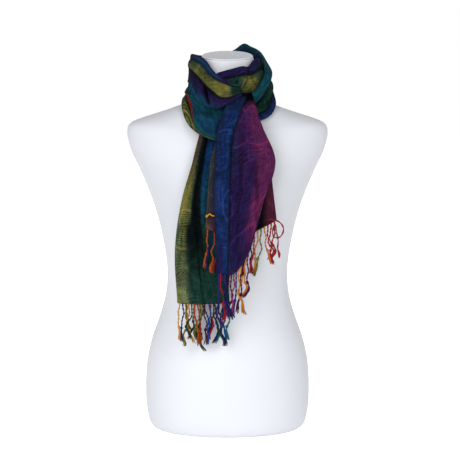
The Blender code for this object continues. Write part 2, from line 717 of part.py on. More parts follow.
def fringe(name, hem, tassels, lines):
    """One closed body: the narrow strip along the hem, and the tassels that grow from its lower face."""
    roots = [item[0] for item in tassel_places(hem.tail, tassels, np.random.default_rng(SEED))]
    stops = [(place, -1) for place in hem.places]
    marks = []
    for number, place in enumerate(roots):
        reach = np.linalg.norm(hem.at(place + 0.01)[0] - hem.at(place)[0])
        half = TASSEL_ROOT * MM / reach * 0.01
        marks += [(place - half, number), (place + half, -1)]
        stops = [stop for stop in stops if abs(stop[0] - place) > 1.6 * half]
    marks = sorted(marks + stops)
    made = bmesh.new()
    rows = []
    for place, _ in marks:
        here, down, out, gap = hem.at(place)
        half = out * CLOTH / 2
        top, low = here + down * gap, here + down * (gap + HEM_DEPTH)
        rows.append([made.verts.new(p) for p in (top + half, top - half, low - half, low + half)])
    for k in range(len(rows) - 1):
        for side in range(4):
            if side != 2 or marks[k][1] < 0:
                after = (side + 1) % 4
                made.faces.new((rows[k][side], rows[k][after], rows[k + 1][after], rows[k + 1][side]))
    made.faces.new(rows[0][::-1])
    made.faces.new(rows[-1])
    for k, (_, number) in enumerate(marks):
        if number >= 0:
            tassel(made, (rows[k][2], rows[k][3], rows[k + 1][3], rows[k + 1][2]), lines[number])
    return finished(name, made)


def tassel(made, root, line):
    """Grows one tassel down its middle line from the four root corners."""
    corners = np.array([list(v.co) for v in root])
    middle = corners.mean(axis=0)
    spokes = corners - middle
    spokes[:, 2] = 0
    spokes /= np.linalg.norm(spokes, axis=1, keepdims=True)
    square = np.array([spokes[0] - spokes[2], spokes[1] - spokes[3]])
    square /= np.linalg.norm(square, axis=1, keepdims=True)
    spokes = np.array([square[0], square[1], -square[0], -square[1]])
    steps = np.linspace(0, 1, len(line))
    ring = list(root)
    for share, radius in TASSEL_RINGS:
        centre = np.array([np.interp(share, steps, line[:, k]) for k in range(3)])
        after = [made.verts.new(centre + spoke * radius * MM) for spoke in spokes]
        for k in range(4):
            made.faces.new((ring[k], ring[(k + 1) % 4], after[(k + 1) % 4], after[k]))
        ring = after
    made.faces.new(ring)


def clear_scene():
    for old in list(bpy.data.objects):
        bpy.data.objects.remove(old)


def painted(piece, colour, roughness):
    """Gives the piece a material of its own, with this colour and roughness and no metal in it."""
    material = bpy.data.materials.new(piece.name)
    material.use_nodes = True
    surface = material.node_tree.nodes["Principled BSDF"]
    surface.inputs["Base Color"].default_value = (*colour, 1)
    surface.inputs["Roughness"].default_value = roughness
    surface.inputs["Metallic"].default_value = 0
    piece.data.materials.append(material)


# Each stretch in the order in which it is laid, every one over those before it.
Stretch = namedtuple("Stretch", "name form colour")
STRETCHES = (
    Stretch("cowl_right", Band(UNDER_WRAP, COWL_RIGHT_PLIES, -16, BACK_SEAM[0]), (0.11, 0.13, 0.05)),
    Stretch("loop_right", Band(OVER_WRAP, LOOP_RIGHT_PLIES, 2, BACK_SEAM[0]), (0.01, 0.07, 0.07)),
    Stretch("under_tail", Tail(UNDER_FOLDS, UNDER_LAYERS, UNDER_DRAPE), (0.05, 0.08, 0.04)),
    Stretch("loop_left", Band(UNDER_WRAP, LOOP_LEFT_PLIES, BACK_SEAM[1], 370), (0.01, 0.06, 0.08)),
    Stretch("front_tail", Tail(FRONT_FOLDS, FRONT_LAYERS, FRONT_DRAPE), (0.06, 0.01, 0.07)),
    Stretch("cowl_left", Band(OVER_WRAP, COWL_LEFT_PLIES, BACK_SEAM[1], 374), (0.06, 0.03, 0.08)),
)
Fringe = namedtuple("Fringe", "name tail tassels colour")
FRINGES = (
    Fringe("under_fringe", "under_tail", UNDER_TASSELS, (0.30, 0.22, 0.04)),
    Fringe("front_fringe", "front_tail", FRONT_TASSELS, (0.35, 0.04, 0.06)),
)


def build():
    """Builds the form, lays the stretches over it one by one, and hangs the fringes from the tails."""
    clear_scene()
    form = dress_form()
    painted(form, (0.82, 0.82, 0.84), 0.55)
    trees = [tree_of_object(form)]
    laid = {}
    for row in STRETCHES:
        laid[row.name] = settled(row.form, trees)
        piece = shell_object(row.name, laid[row.name].grid(), CLOTH)
        painted(piece, row.colour, 0.8)
        trees.append(tree_of_object(piece))
    hems = [Hem(laid[row.tail]) for row in FRINGES]
    paths = [tassel_paths(hem, row.tassels, np.random.default_rng(SEED)) for hem, row in zip(hems, FRINGES)]
    lines = parted([path for group in paths for path in group], trees)
    first = 0
    for row, hem, group in zip(FRINGES, hems, paths):
        piece = fringe(row.name, hem, row.tassels, lines[first : first + len(group)])
        painted(piece, row.colour, 0.7)
        first += len(group)


build()
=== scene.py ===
"""Looks of a pashmina shawl wound and half-knotted round the neck of a limbless dress form.

The shawl is one long cloth, shown as six stretches and two fringes. The tables give each stretch in
millimetres: stations along it, plies or folds across it, dyes over it, and creases in it. Every stretch is
a surface of two parameters, laid over the ones below it by one smooth lift, and given a thin wall. The
scene is in metres, +Z up, the form facing -Y, with the origin under the form's flat base.
"""

import logging
import math
from dataclasses import dataclass
from enum import Enum
from typing import Callable, Iterable, NamedTuple, Protocol, Sequence

import bpy
import numpy as np
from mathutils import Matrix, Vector
from mathutils.bvhtree import BVHTree


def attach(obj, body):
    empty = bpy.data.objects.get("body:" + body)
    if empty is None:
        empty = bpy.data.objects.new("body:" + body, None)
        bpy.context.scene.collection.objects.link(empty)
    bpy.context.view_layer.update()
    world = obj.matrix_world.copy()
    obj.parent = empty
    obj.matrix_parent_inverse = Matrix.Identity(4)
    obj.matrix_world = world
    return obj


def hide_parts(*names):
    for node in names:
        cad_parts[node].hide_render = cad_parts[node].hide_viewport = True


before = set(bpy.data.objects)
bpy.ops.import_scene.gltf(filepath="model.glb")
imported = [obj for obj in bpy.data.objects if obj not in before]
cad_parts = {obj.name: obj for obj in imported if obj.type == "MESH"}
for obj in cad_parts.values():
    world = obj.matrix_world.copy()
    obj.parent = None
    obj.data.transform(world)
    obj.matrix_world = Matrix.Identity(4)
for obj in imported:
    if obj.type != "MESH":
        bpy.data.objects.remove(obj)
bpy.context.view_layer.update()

log = logging.getLogger("shawl")
Array = np.ndarray
Piece = bpy.types.Object
Socket = bpy.types.NodeSocket
Span = tuple[float, float]
Point = tuple[float, float, float]
Paints = dict[str, Array]
Inputs = dict[str | int, object]

MM = 0.001
GAP = 0.3 * MM  # clearance kept between two pieces that touch
THICKNESS = 0.8 * MM  # wall of the folded pashmina
HEM_DEPTH = 3.2 * MM  # height of the knotted strip that heads each fringe
HEM_GAP = 0.15 * MM  # between the cloth's edge and that strip
SLANT_LEAST = 0.25  # where the edge runs more aslant than this sine, the gap grows no further
NECK_AXIS_Y = 12 * MM  # the neck stands this far behind the form's middle plane
SEED = 11


class Slice(NamedTuple):
    """A level cut through the dress form."""

    height: float
    half_width: float
    front: float
    back: float


class Station(NamedTuple):
    """A place along a wrap that goes round the neck.

    Turn is degrees round the neck's axis: 0 and 360 at the front, 90 over the shoulder on +X, 180 at the
    back. Reach is from the axis to the inside of the band, height that of its middle, width from its top
    edge to its bottom edge, and lean how far its lower edge tips out.
    """

    turn: float
    reach: float
    height: float
    width: float
    lean: float


class Ply(NamedTuple):
    """A fold or face across a wound stretch, at the front of the neck and at its back.

    Down is a share of the width, out the distance in front of the band's inside.
    """

    name: str
    down: float
    out: float
    back_down: float
    back_out: float


class Slide(NamedTuple):
    """A ply of a wound stretch that slides to another share of the width between two turns."""

    ply: str
    start: float
    end: float
    down: float


class Fold(NamedTuple):
    """A fold's edge down a tail: its X at the shares of its length in TAIL_LEVELS, and its two ends."""

    name: str
    top: float
    chest: float
    bust: float
    low: float
    hem: float
    start: float
    end: float


class Layer(NamedTuple):
    """The cloth between two folds of a tail: its distance in front of the tail's back, crown and sag."""

    name: str
    out_top: float
    out_hem: float
    crown: float
    sag: float


class Drape(NamedTuple):
    """How far in front of the form's middle plane a tail's back hangs at a height."""

    height: float
    out: float


class Crease(NamedTuple):
    """A soft trough or ridge between two places of a stretch.

    On a wound stretch the places are turns in degrees and shares of the width, on a tail X and height. Width
    is the crease's, and depth how far it stands out, less than nothing for a trough.
    """

    from_a: float
    from_b: float
    to_a: float
    to_b: float
    width: float
    depth: float


class Dye(Enum):
    """A stripe of dyed yarn: the ground's colour, and the woven figure's, as sRGB hex; SHADE is painted
    shade.
    """

    NAVY = ("#0b0f20", "#121931")
    VIOLET = ("#110922", "#1c1333")
    PLUM = ("#190c26", "#3a143a")
    MAGENTA = ("#29122e", "#561732")
    WINE = ("#22101b", "#461322")
    BLUE = ("#091128", "#14244c")
    ROYAL = ("#071830", "#0e284b")
    PETROL = ("#092231", "#0b2b3b")
    TEAL = ("#09262c", "#0c3135")
    SPRUCE = ("#091b1a", "#152a20")
    LEAF = ("#0e1b16", "#4e4b22")
    OLIVE = ("#292915", "#524d22")
    GOLD = ("#403d1c", "#61592c")
    BARK = ("#1c1808", "#503713")
    EARTH = ("#1f1f1f", "#312d28")
    MOSS = ("#1f2923", "#484b33")
    RUST = ("#46140b", "#601e0e")
    # Painted shade, not a dye: near black, for tucks, returns and folds that lie in shadow.
    SHADE = ("#030506", "#070a0b")


class Stripe(NamedTuple):
    """Dyes at one place across a stretch, from the start of its length to its end."""

    at: float
    dyes: Sequence[Dye]

    @classmethod
    def typed(cls, at: float, *dyes: str) -> "Stripe":
        """The stripe of a typed row: its place, then the names of its dyes."""
        return cls(at, [Dye[name.upper()] for name in dyes])


class Yarn(Enum):
    """The dyed yarn of a tassel, as sRGB hex."""

    GOLD = "#916b1d"
    AMBER = "#85501f"
    ORANGE = "#703214"
    RED = "#6c1918"
    CRIMSON = "#680f21"
    ROSE = "#611d46"
    PLUM = "#350b28"
    MAROON = "#2f0b15"
    RUST = "#5c1d0d"
    VIOLET = "#1d1843"
    NAVY = "#101233"
    BLUE = "#0f3062"
    TEAL = "#0f464b"
    FOREST = "#0f291d"
    OLIVE = "#4c4c1a"


class Tassels(NamedTuple):
    """The tassels along one layer's hem: their length, drift of the ends in X, swing, and yarns in order."""

    layer: str
    length: float
    drift: float
    swing: float
    yarns: Sequence[Yarn]

    @classmethod
    def typed(cls, layer: str, length: float, drift: float, swing: float, *yarns: str) -> "Tassels":
        """The tassels of a typed row, which ends with the names of their yarns."""
        return cls(layer, length, drift, swing, [Yarn[name.upper()] for name in yarns])


class Loose(NamedTuple):
    """A yarn that has sprung out of the fringe: its place across the tail, yarn, and way from its root.

    Points are X, distance out and height from the root, in millimetres.
    """

    place: float
    yarn: Yarn
    points: Array

    @classmethod
    def typed(cls, place: float, yarn: str, *points: float) -> "Loose":
        """The yarn of a typed row, which ends with its points, three numbers each."""
        return cls(place, Yarn[yarn.upper()], np.reshape(points, (-1, 3)))


def read_rows(kind: Callable, text: str) -> list:
    """Reads a typed table, whose rows end at a semicolon or a line's end.

    Args:
        kind: What makes a row from its words and numbers.
        text: The table.

    Returns:
        The rows.
    """
    typed = [line.split() for line in text.strip().replace(";", "\n").splitlines()]
    return [kind(*(part if part[0].isalpha() else float(part) for part in parts)) for parts in typed]


# Dress form: horizontal slices, from the base to the top of the neck.
FORM_SLICES = read_rows(Slice, """
    0 128 82 90; 3 140 93 101; 11 149 99 108; 26 154 103 112; 55 158 105 115; 100 158.5 106 114
    140 155 105 108; 180 146 102 98; 225 130.5 97 86; 265 119.5 93 79; 305 116 92 78; 345 119 94 82
    390 127.5 98 89; 430 137.5 101 95; 470 151.5 103 100; 510 168.5 100 104; 545 185 92 105
    570 191.5 83 103; 589 191 74 99; 599 183 68 96; 607 164 64 92; 616 136 60 88; 626 106 56 83
    637 79 52 78; 650 62 49 73; 668 54 46 67; 695 51 43 62; 722 50 41 60; 727 48 39 58
""")
NECK_TILT = math.tan(math.radians(6.3))  # the neck's top slopes forward
NECK_TILT_FROM, NECK_TOP = 650 * MM, 727 * MM
NECK_DISH = 3 * MM
NECK_SEAM = 723.5 * MM  # the seam below the neck's cap, with its depth and reach
NECK_SEAM_DEPTH, NECK_SEAM_REACH = 1.5 * MM, 1.2 * MM
BUST_SWELL, BUST_APART, BUST_HEIGHT = 24 * MM, 80 * MM, 462 * MM
BUST_REACH_X, BUST_REACH_Z = 47 * MM, 46 * MM

# Stations of the two wraps.
UNDER_WRAP = read_rows(Station, """
    -16 69 676 40 12; 8 71 681 46 14; 24 69 684 48 14; 38 66 684 46 14; 52 62 688 54 12
    65 60 691 58 10; 95 58 690 56 6; 130 66 680 54 4; 160 76 664 58 8; 180 79 655 60 10
    210 80 652 60 12; 240 76 653 46 20; 270 73 654 34 24; 298 76 647 44 22; 320 84 627 70 18
    340 89 612 76 14; 356 91 604 66 10; 370 89 602 50 8
""")
OVER_WRAP = read_rows(Station, """
    2 81 628 42 8; 20 83 629 47 12; 38 81 632 58 18; 50 79 643 66 16; 62 76 657 66 14
    85 73 676 70 14; 110 75 686 70 10; 132 80 697 70 4; 148 84 705 67 1; 160 88 711 65 0
    170 90 702 62 1; 180 91 694 60 2; 205 90 691 58 2; 235 78 697 56 3; 265 62 701 53 2
    295 62 698 57 5; 320 68 682 74 14; 342 77 661 70 18; 354 80 656 60 16; 363 82 657 42 14
    374 82 662 22 10
""")
# Plies across the wound stretches, from the inside of the top roll to the inside of the bottom roll.
PLIES = {
    "cowl_right": read_rows(Ply, """
        inner_lip 0.34 0 0.3 0; inner_top 0.08 0 0.06 0; top_roll -0.05 4 -0.04 3
        navy_face 0.1 9 0.1 7; navy_low 0.33 8.5 0.26 8; olive_tuck 0.35 5.5 0.36 7
        olive_top 0.43 13 0.46 8; olive_face 0.6 16 0.58 8.5; olive_low 0.79 12 0.7 8
        low_face 0.92 9 0.86 7.5; bottom_roll 1.04 4 1.04 3.5; bottom_lip 0.92 0 0.94 0
        lip_end 0.74 0 0.74 0
    """),
    "loop_left": read_rows(Ply, """
        inner_lip 0.22 0 0.3 0; inner_top 0.05 0 0.06 0; top_roll -0.03 4 -0.04 3
        teal_top 0.12 9 0.1 7; teal_face 0.38 13 0.26 8; teal_low 0.68 14 0.36 7
        red_tuck 0.66 7.5 0.46 8; red_face 0.77 9 0.58 8.5; leaf_tuck 0.84 8 0.7 8
        leaf_face 0.94 11 0.86 7.5; bottom_roll 1.04 6 1.04 3.5; bottom_lip 0.96 0 0.94 0
        lip_end 0.8 0 0.74 0
    """),
    "loop_right": read_rows(Ply, """
        inner_lip 0.22 0 0.26 0; inner_top 0.05 0 0.06 0; top_roll -0.03 5 -0.04 3
        teal_face 0.12 11 0.1 7; teal_low 0.4 13 0.26 8; green_tuck 0.38 6.5 0.34 7
        green_face 0.56 8 0.46 8; green_low 0.78 13 0.58 8.5; blue_tuck 0.76 6.5 0.7 7.5
        blue_face 0.9 10 0.86 8; bottom_roll 1.03 6 1.04 3.5; bottom_lip 0.95 0 0.94 0
        lip_end 0.82 0 0.74 0
    """),
    "cowl_left": read_rows(Ply, """
        inner_lip 0.3 0 0.26 0; inner_top 0.06 0 0.06 0; top_roll -0.04 5 -0.04 3
        navy_face 0.09 9 0.1 7; olive_tuck 0.17 6 0.26 8; olive_top 0.22 13 0.34 7
        olive_low 0.49 14 0.46 8; plum_tuck 0.48 7.5 0.58 8.5; plum_face 0.68 11 0.7 7.5
        plum_low 0.9 11 0.86 8; bottom_roll 1.04 6 1.04 3.5; bottom_lip 0.95 0 0.94 0
        lip_end 0.8 0 0.74 0
    """),
}
FRONT_HOLDS = 105  # a ply keeps its front pair where it is this many degrees or more from the back
SEAM_EASE = 25  # degrees over which a band's lift starts from nothing at the back
FULL_WIDTH = 70  # a band's width where it is spread widest
FLAT_BELOW = 50  # below this width the plies of a band flatten with it

# Folds, layers and drape lines of the two tails.
FOLDS = {
    "under_tail": read_rows(Fold, """
        olive_edge -46 -62 -84 -98 -94 612 270
        olive_fold -30 -46 -60 -58 -46 614 268
        shade_turn -44 -62 -78 -71 -56 614 268
        teal_fold -4 -8 -6 -2 4 616 270
        back_turn -40 -56 -72 -82 -82 614 276
        back_edge -14 -20 -24 -22 -18 614 280
    """),
    "front_tail": read_rows(Fold, """
        brown_edge 8 -9 -28 -36 -41 650 414
        brown_turn 23 16 12 13 14 652 386
        blue_fold 2 -18 -23 -23.5 -21 654 331
        pleat_fold 38 12 5 3 0 660 329
        pleat_turn 24 2 -3 -6 -10 660 329
        plum_fold 46 64 89 67 44 660 376
        dark_turn 32 37 42 34 27 656 394
        dark_edge 42 56 78 84 92 654 428
    """),
}
LAYERS = {
    "under_tail": read_rows(Layer, """
        olive_panel 10.5 13 2 0; olive_return 7.8 10.2 0 0; teal_panel 5.1 7.4 1 0
        back_panel 2.5 3.4 0 0; back_return 0 0 0 0
    """),
    "front_tail": read_rows(Layer, """
        brown_panel 0.6 0 0 0; brown_return 3.6 4.4 0 0; blue_panel 12 13 1 0
        pleat_return 9 10.4 0 0; plum_panel 5.6 7.6 2 20; plum_return 2.8 3.8 0 0
        dark_panel 0 0 1 0
    """),
}
DRAPES = {
    "under_tail": read_rows(Drape, """
        620 72; 590 80; 560 92; 520 108; 480 121; 440 124; 380 123; 265 119
    """),
    "front_tail": read_rows(Drape, """
        662 78; 640 88; 610 104; 580 116; 540 124; 490 133; 440 139; 380 140; 325 138
    """),
}
TAIL_LEVELS = (0, 0.2, 0.42, 0.7, 1)  # shares of a fold's length at which its X is given
FOLD_RADIUS = 2.2  # the rounding of a tail's fold edges
TAIL_CURVE = 0.0009  # the tails bend round the chest: depth lost for each square millimetre of X
FOLD_DEPTH = 13  # a crease has its whole depth this far out, and less on the layers behind
CREASE_END = 0.3  # the share of its depth that a crease keeps at its two ends
RIDGE_LIFT = 0.5  # the share of a ridge's height that every layer of a tail takes

# Dyes across each stretch. On a wound one a place is the number of a ply, from the inner lip over the top
# roll to the lower lip, and on a tail it is that of a layer plus the share of the way across it. Shade is
# painted shade, not a dye: it lies on tucks, returns and folds in shadow, and on the front tail's top in
# the shadow of the cowl.
DYES = {
    "cowl_right": read_rows(Stripe.typed, """
        0 navy navy navy navy
        2 navy violet violet navy
        3.4 teal navy violet violet
        5 spruce shade shade shade
        6 leaf spruce leaf spruce
        7 olive spruce gold spruce
        8.4 leaf leaf olive spruce
        9.6 plum spruce shade shade
        12 violet violet plum plum
    """),
    "loop_left": read_rows(Stripe.typed, """
        0 navy spruce spruce spruce
        2 navy spruce spruce petrol
        3.4 teal spruce teal petrol
        4.6 spruce spruce petrol blue
        5.4 spruce spruce teal petrol
        6 leaf shade shade shade
        6.5 olive rust rust bark
        7.4 olive rust rust bark
        8 leaf shade shade shade
        8.7 plum leaf leaf shade
        12 violet spruce leaf shade
    """),
    "loop_right": read_rows(Stripe.typed, """
        0 navy navy navy petrol
        2 teal teal petrol petrol
        3 teal teal teal petrol
        4 petrol petrol petrol teal
        5 olive shade shade spruce
        6.5 leaf spruce spruce spruce
        8 spruce shade shade shade
        9 plum navy blue blue
        12 violet violet violet violet
    """),
    "cowl_left": read_rows(Stripe.typed, """
        0 navy navy navy navy navy
        2 teal navy violet violet navy
        3 teal navy petrol violet spruce
        4 petrol shade navy shade shade
        5 olive spruce leaf gold spruce
        6 leaf leaf olive gold spruce
        7 spruce shade shade shade shade
        8 plum shade violet violet violet
        9.2 plum navy petrol violet violet
        12 violet violet violet violet violet
    """),
    "under_tail": read_rows(Stripe.typed, """
        0 rust olive moss leaf
        0.12 bark gold moss leaf
        0.4 earth gold leaf moss
        0.6 shade leaf shade spruce
        0.74 shade shade shade spruce
        1.1 shade shade shade spruce
        1.9 shade shade shade spruce
        2.4 shade shade shade spruce
        2.47 royal petrol spruce spruce
        2.7 royal teal teal spruce
        3 blue petrol teal teal
        4 navy blue petrol petrol
        5 violet navy blue blue
    """),
    "front_tail": read_rows(Stripe.typed, """
        0 spruce earth earth earth
        0.5 spruce earth navy wine
        1 spruce spruce navy wine
        2 petrol navy navy navy
        2.5 navy blue blue violet
        2.57 navy blue blue blue
        2.76 navy royal blue royal
        2.82 navy navy navy blue
        4 shade shade navy navy
        4.22 shade navy violet navy
        4.5 shade plum violet violet
        4.68 shade magenta magenta violet
        4.88 shade magenta magenta plum
        5 shade wine magenta plum
        5.5 plum plum shade shade
        6.52 shade shade shade shade
        6.75 plum earth wine wine
        7 wine wine wine wine
    """),
}
BAND_DYE_TURNS = (0, 90, 150, 195)  # the dyes of a wound stretch lie this many degrees from the neck's back

# Plies that slide, and creases placed from the front view, with similar ones on the hidden sides.
SLIDES = {
    "cowl_right": read_rows(Slide, """
        olive_low 62 40 0.84; low_face 62 40 1.04; bottom_roll 62 40 1.22; bottom_lip 62 40 1.1
        lip_end 62 40 0.9
    """),
    "loop_left": read_rows(Slide, """
        teal_low 262 294 0.44; red_tuck 262 294 0.43; red_face 262 294 0.57; leaf_tuck 262 294 0.61
        leaf_face 262 294 0.8; teal_low 310 342 1; red_tuck 308 340 0.98; red_face 308 336 0.97
        leaf_tuck 312 338 0.98; leaf_face 320 346 1
    """),
    "cowl_left": read_rows(Slide, """
        olive_low 338 362 0.74; plum_tuck 338 362 0.72; plum_face 338 362 0.82
        plum_low 338 362 0.92; bottom_roll 352 370 0.94; bottom_lip 352 370 0.84
        lip_end 352 370 0.72
    """),
}
CREASES = {
    "cowl_right": read_rows(Crease, """
        23 0.42 13 0.86 1.9 3.4; 30 0.46 20 0.88 2 -3.6; 16 0.4 9 0.8 2.2 -3.2; 24 0 28 0.34 4 2.4
        36 0 33 0.32 3.6 -2.4; 34 0.5 46 0.9 3.2 -1.8; 2 0.1 44 0.24 3 -1.4; 60 0.3 120 0.5 4 -1.8
        86 0.7 150 0.6 3.4 1.6; 118 0.2 165 0.34 3.6 -1.6
    """),
    "loop_left": read_rows(Crease, """
        352 0.3 318 0.62 5 -1.6; 345 0.66 322 0.9 4 1.6; 310 0.2 286 0.5 3.5 -1.8
        300 0.6 272 0.82 3 1.6; 262 0.25 215 0.4 4 -1.8; 250 0.7 200 0.62 3.6 1.8
    """),
    "loop_right": read_rows(Crease, """
        12 0.3 50 0.5 4 -1.6; 36 0.16 70 0.3 3 1.8; 40 0.62 74 0.8 3.4 -2; 70 0.42 120 0.3 3.6 -1.8
        88 0.72 140 0.6 4 1.8; 128 0.24 168 0.36 3.4 -1.6
    """),
    "cowl_left": read_rows(Crease, """
        329 0.54 341 0.88 3.4 -14; 324 0.56 336 0.9 3 2.4; 345 0.5 354 0.9 4 1.8
        352 0.6 366 0.84 3.4 -1.6; 318 0.26 362 0.42 3.6 1.4; 306 0.6 322 0.9 3.6 -1.6
        286 0.2 252 0.36 3.6 -1.8; 280 0.62 226 0.54 4 1.8; 240 0.8 196 0.7 3.6 -1.8
    """),
    "under_tail": read_rows(Crease, """
        -58 560 -84 400 3.4 1.6; -70 500 -92 330 3 -1.6; -34 520 -40 330 5 -2
        -22 480 -24 290 4.5 1.8; -60 400 -74 280 5 -1.8; -50 350 -44 270 6 1.6
    """),
    "front_tail": read_rows(Crease, """
        20 672 52 654 7 -14; 14 640 -8 420 2.2 -1.6; -14 600 -16 340 3 1.4; 30 620 16 350 4 -2
        44 610 32 372 5 2; 52 560 58 420 4 -2.2; 68 540 74 470 4.5 2.2; 78 500 60 400 3.6 -1.8
        24 470 28 350 5 1.6; 76 450 84 430 4 1.4
    """),
}
UNDER_TASSELS = read_rows(Tassels.typed, """
    olive_panel 80 4 3.5 gold violet olive amber forest orange rust olive
    teal_panel 80 3 3.5 forest maroon blue forest navy blue teal
    back_panel 74 -2 2.5 teal navy crimson forest olive gold
    back_return 70 2 2.5 olive forest blue maroon
""")
FRONT_TASSELS = read_rows(Tassels.typed, """
    brown_panel 80 -3 3 orange navy orange red navy red navy crimson
    blue_panel 90 3 3 violet crimson navy violet
    plum_panel 84 -2 3.5 teal navy maroon plum rose violet amber gold plum amber plum
    dark_panel 80 -3 3.5 crimson gold plum crimson amber olive amber crimson red red
""")

# Yarns that have sprung out of the front fringe: place, yarn, then points.
FRONT_LOOSE = read_rows(Loose.typed, """
    6.8 red 0 1 0 7 3 2 15 4 -4 19 4 -13 16 5 -24 8 6 -30 0 7 -26 -1 7 -14 3 6 -4 6 5 -20 \
    9 4 -36 8 3 -50 11 2 -60 11 2 -68
    0.46 gold 0 0 0 1 2 9 1 3 18 1 3 26 0 3 32 -3 3 35 -6 3 35 -9 3 35 \
    -12 3 36 -14 3 38 -17 3 38 -19 3 36 -21 3 35 -21 3 32
""")

# Thickness of a tassel at shares of its length, as its neighbours keep clear of it.
TASSEL_SHARES, TASSEL_RADII = (0, 0.3, 0.58, 0.68, 0.78, 1), (1.26, 1.2, 1.2, 2.1, 1.6, 1.5)
TASSEL_APART = 0.3  # least clearance between two tassels
TASSEL_INSET = 4.2  # from a fold's edge to the first tassel beside it
INSET_MOST = 0.35  # the share of a layer that an inset takes at most
PATH_POINTS, PARTING_ROUNDS = 13, 140
PUSH_SHARE, CLEAR_SHARE, EVEN_SHARE = 0.4, 0.8, 0.3  # of each move that one round of parting makes
STEEP_SHARE = 0.6  # tassels part sideways, so that distance down counts for less
CLOTH_ROOM = 1.3  # radii that a tassel keeps from the cloth behind it

BEND_LENGTH = 5  # a turn of one radian draws as many samples as this length in mm
FINER = 12  # a curve is read this many times finer before its even steps are picked
ROOT_SHARE = 0.25  # the share of a tassel's length over which parting it grows from nothing
PLUMB_SHARE = 0.2  # the share of it over which it turns from the cloth's own way to its own
LIFT_STEPS, LIFT_BLURS = 48, 20  # nodes of a lift field each way, and how often it is eased
FIELD_EDGE = 8  # a tail's lift field goes this far past its folds
RAY_FROM, RAY_TO = 160, -60  # rays that look for what lies under a stretch run between these distances
REST_STEP, REST_MOST = 0.25, 6  # a stretch is raised by this step until it is clear, at most this far
WAVE_TURN = 0.314  # the length after which a wave texture of scale one repeats


def eased(share: Array | float) -> Array | float:
    """The share with a slow start and end: three times its square less twice its cube."""
    return share**2 * (3 - 2 * share)


def summed(steps: Array) -> Array:
    """Running totals of these steps, from nought."""
    return np.concatenate([[0], np.cumsum(steps)])


def unit(ways: Array) -> Array:
    """These directions, each one unit long."""
    return ways / np.maximum(np.linalg.norm(ways, axis=-1, keepdims=True), 1e-12)


def angles(count: int) -> Array:
    """This many even steps round a circle, in radians."""
    return np.arange(count) / count * 2 * math.pi


def smooth_through(at: Array | float, places: Array, values: Array) -> Array:
    """Reads the cubic curve through the values at their places, each slope taken from its neighbours.

    Args:
        at: Where to read it.
        places: The places, rising.
        values: The value at each place.

    Returns:
        The curve's values, of the shape of `at`.
    """
    places, values = np.asarray(places, float), np.asarray(values, float)
    slopes = np.gradient(values, places)
    left = np.clip(np.searchsorted(places, at) - 1, 0, len(places) - 2)
    span = places[left + 1] - places[left]
    t = np.clip((at - places[left]) / span, 0, 1)
    ends = (1 + 2 * t) * (1 - t) ** 2 * values[left] + eased(t) * values[left + 1]
    return ends + t * (1 - t) * span * ((1 - t) * slopes[left] - t * slopes[left + 1])


def spline_weights(controls: int, samples: int) -> Array:
    """Weights of a clamped uniform cubic B-spline.

    Args:
        controls: How many control values it has.
        samples: How many places it is read at.

    Returns:
        A row for each sample, a column for each control.
    """
    place = np.linspace(0, controls + 1, samples)
    first = np.minimum(place.astype(int), controls)
    t = place - first
    basis = np.stack([(1 - t) ** 3, 3 * t**3 - 6 * t**2 + 4, -3 * t**3 + 3 * t**2 + 3 * t + 1, t**3], axis=1)
    weights = np.zeros((samples, controls))
    for k in range(4):
        column = np.clip(first + k - 2, 0, controls - 1)
        np.add.at(weights, (np.arange(samples), column), basis[:, k] / 6)
    return weights


def even_weights(control_line: Array, samples: int) -> Array:
    """Spline weights whose samples lie at even steps, closer where the curve of this control line bends.

    Args:
        control_line: The control points, a row each.
        samples: How many samples there are.

    Returns:
        A row for each sample, a column for each control.
    """
    fine = spline_weights(len(control_line), FINER * samples)
    steps = np.diff(fine @ control_line, axis=0)
    bend = np.concatenate([[0], np.linalg.norm(np.diff(unit(steps), axis=0), axis=1)])
    along = summed(np.linalg.norm(steps, axis=1) + BEND_LENGTH * bend)
    picks = np.searchsorted(along, np.linspace(0, along[-1], samples))
    return fine[np.clip(picks, 0, len(fine) - 1)]


def cubic_taps(at: Array, count: int) -> list[tuple[Array, Array]]:
    """The four nodes round each place of a regular row of nodes, each with its Catmull-Rom weight.

    Args:
        at: Places along the row.
        count: How many nodes the row has.

    Returns:
        The number and weight of each node.
    """
    first = np.clip(np.floor(at).astype(int), 0, count - 2)
    t = np.clip(at - first, 0, 1)
    middle = (1 - 5 * t**2 / 2 + 3 * t**3 / 2, t / 2 + 2 * t**2 - 3 * t**3 / 2)
    weights = (-t / 2 + t**2 - t**3 / 2, *middle, -(t**2) / 2 + t**3 / 2)
    return [(np.clip(first + k, 0, count - 1), weight) for k, weight in zip((-1, 0, 1, 2), weights)]


def spline_at(controls: int, shares: Array) -> Array:
    """Weights that read the smooth curve through evenly spaced points at shares of its length.

    Args:
        controls: How many points a line has.
        shares: Where to read it.

    Returns:
        A row for each share, a column for each point.
    """
    at = np.clip(shares, 0, 1) * (controls - 1)
    weights = np.zeros((len(at), controls))
    for index, weight in cubic_taps(at, controls):
        np.add.at(weights, (np.arange(len(at)), index), weight)
    return weights


def linear(code: str) -> Array:
    """Linear red, green and blue of an sRGB hex colour."""
    parts = np.array([int(code[k : k + 2], 16) for k in (1, 3, 5)]) / 255
    return np.where(parts <= 0.04045, parts / 12.92, ((parts + 0.055) / 1.055) ** 2.4)


def grid_normals(grid: Array) -> Array:
    """Unit normals of a grid of points, from the differences along its two directions."""
    return unit(np.cross(np.gradient(grid, axis=0), np.gradient(grid, axis=1)))


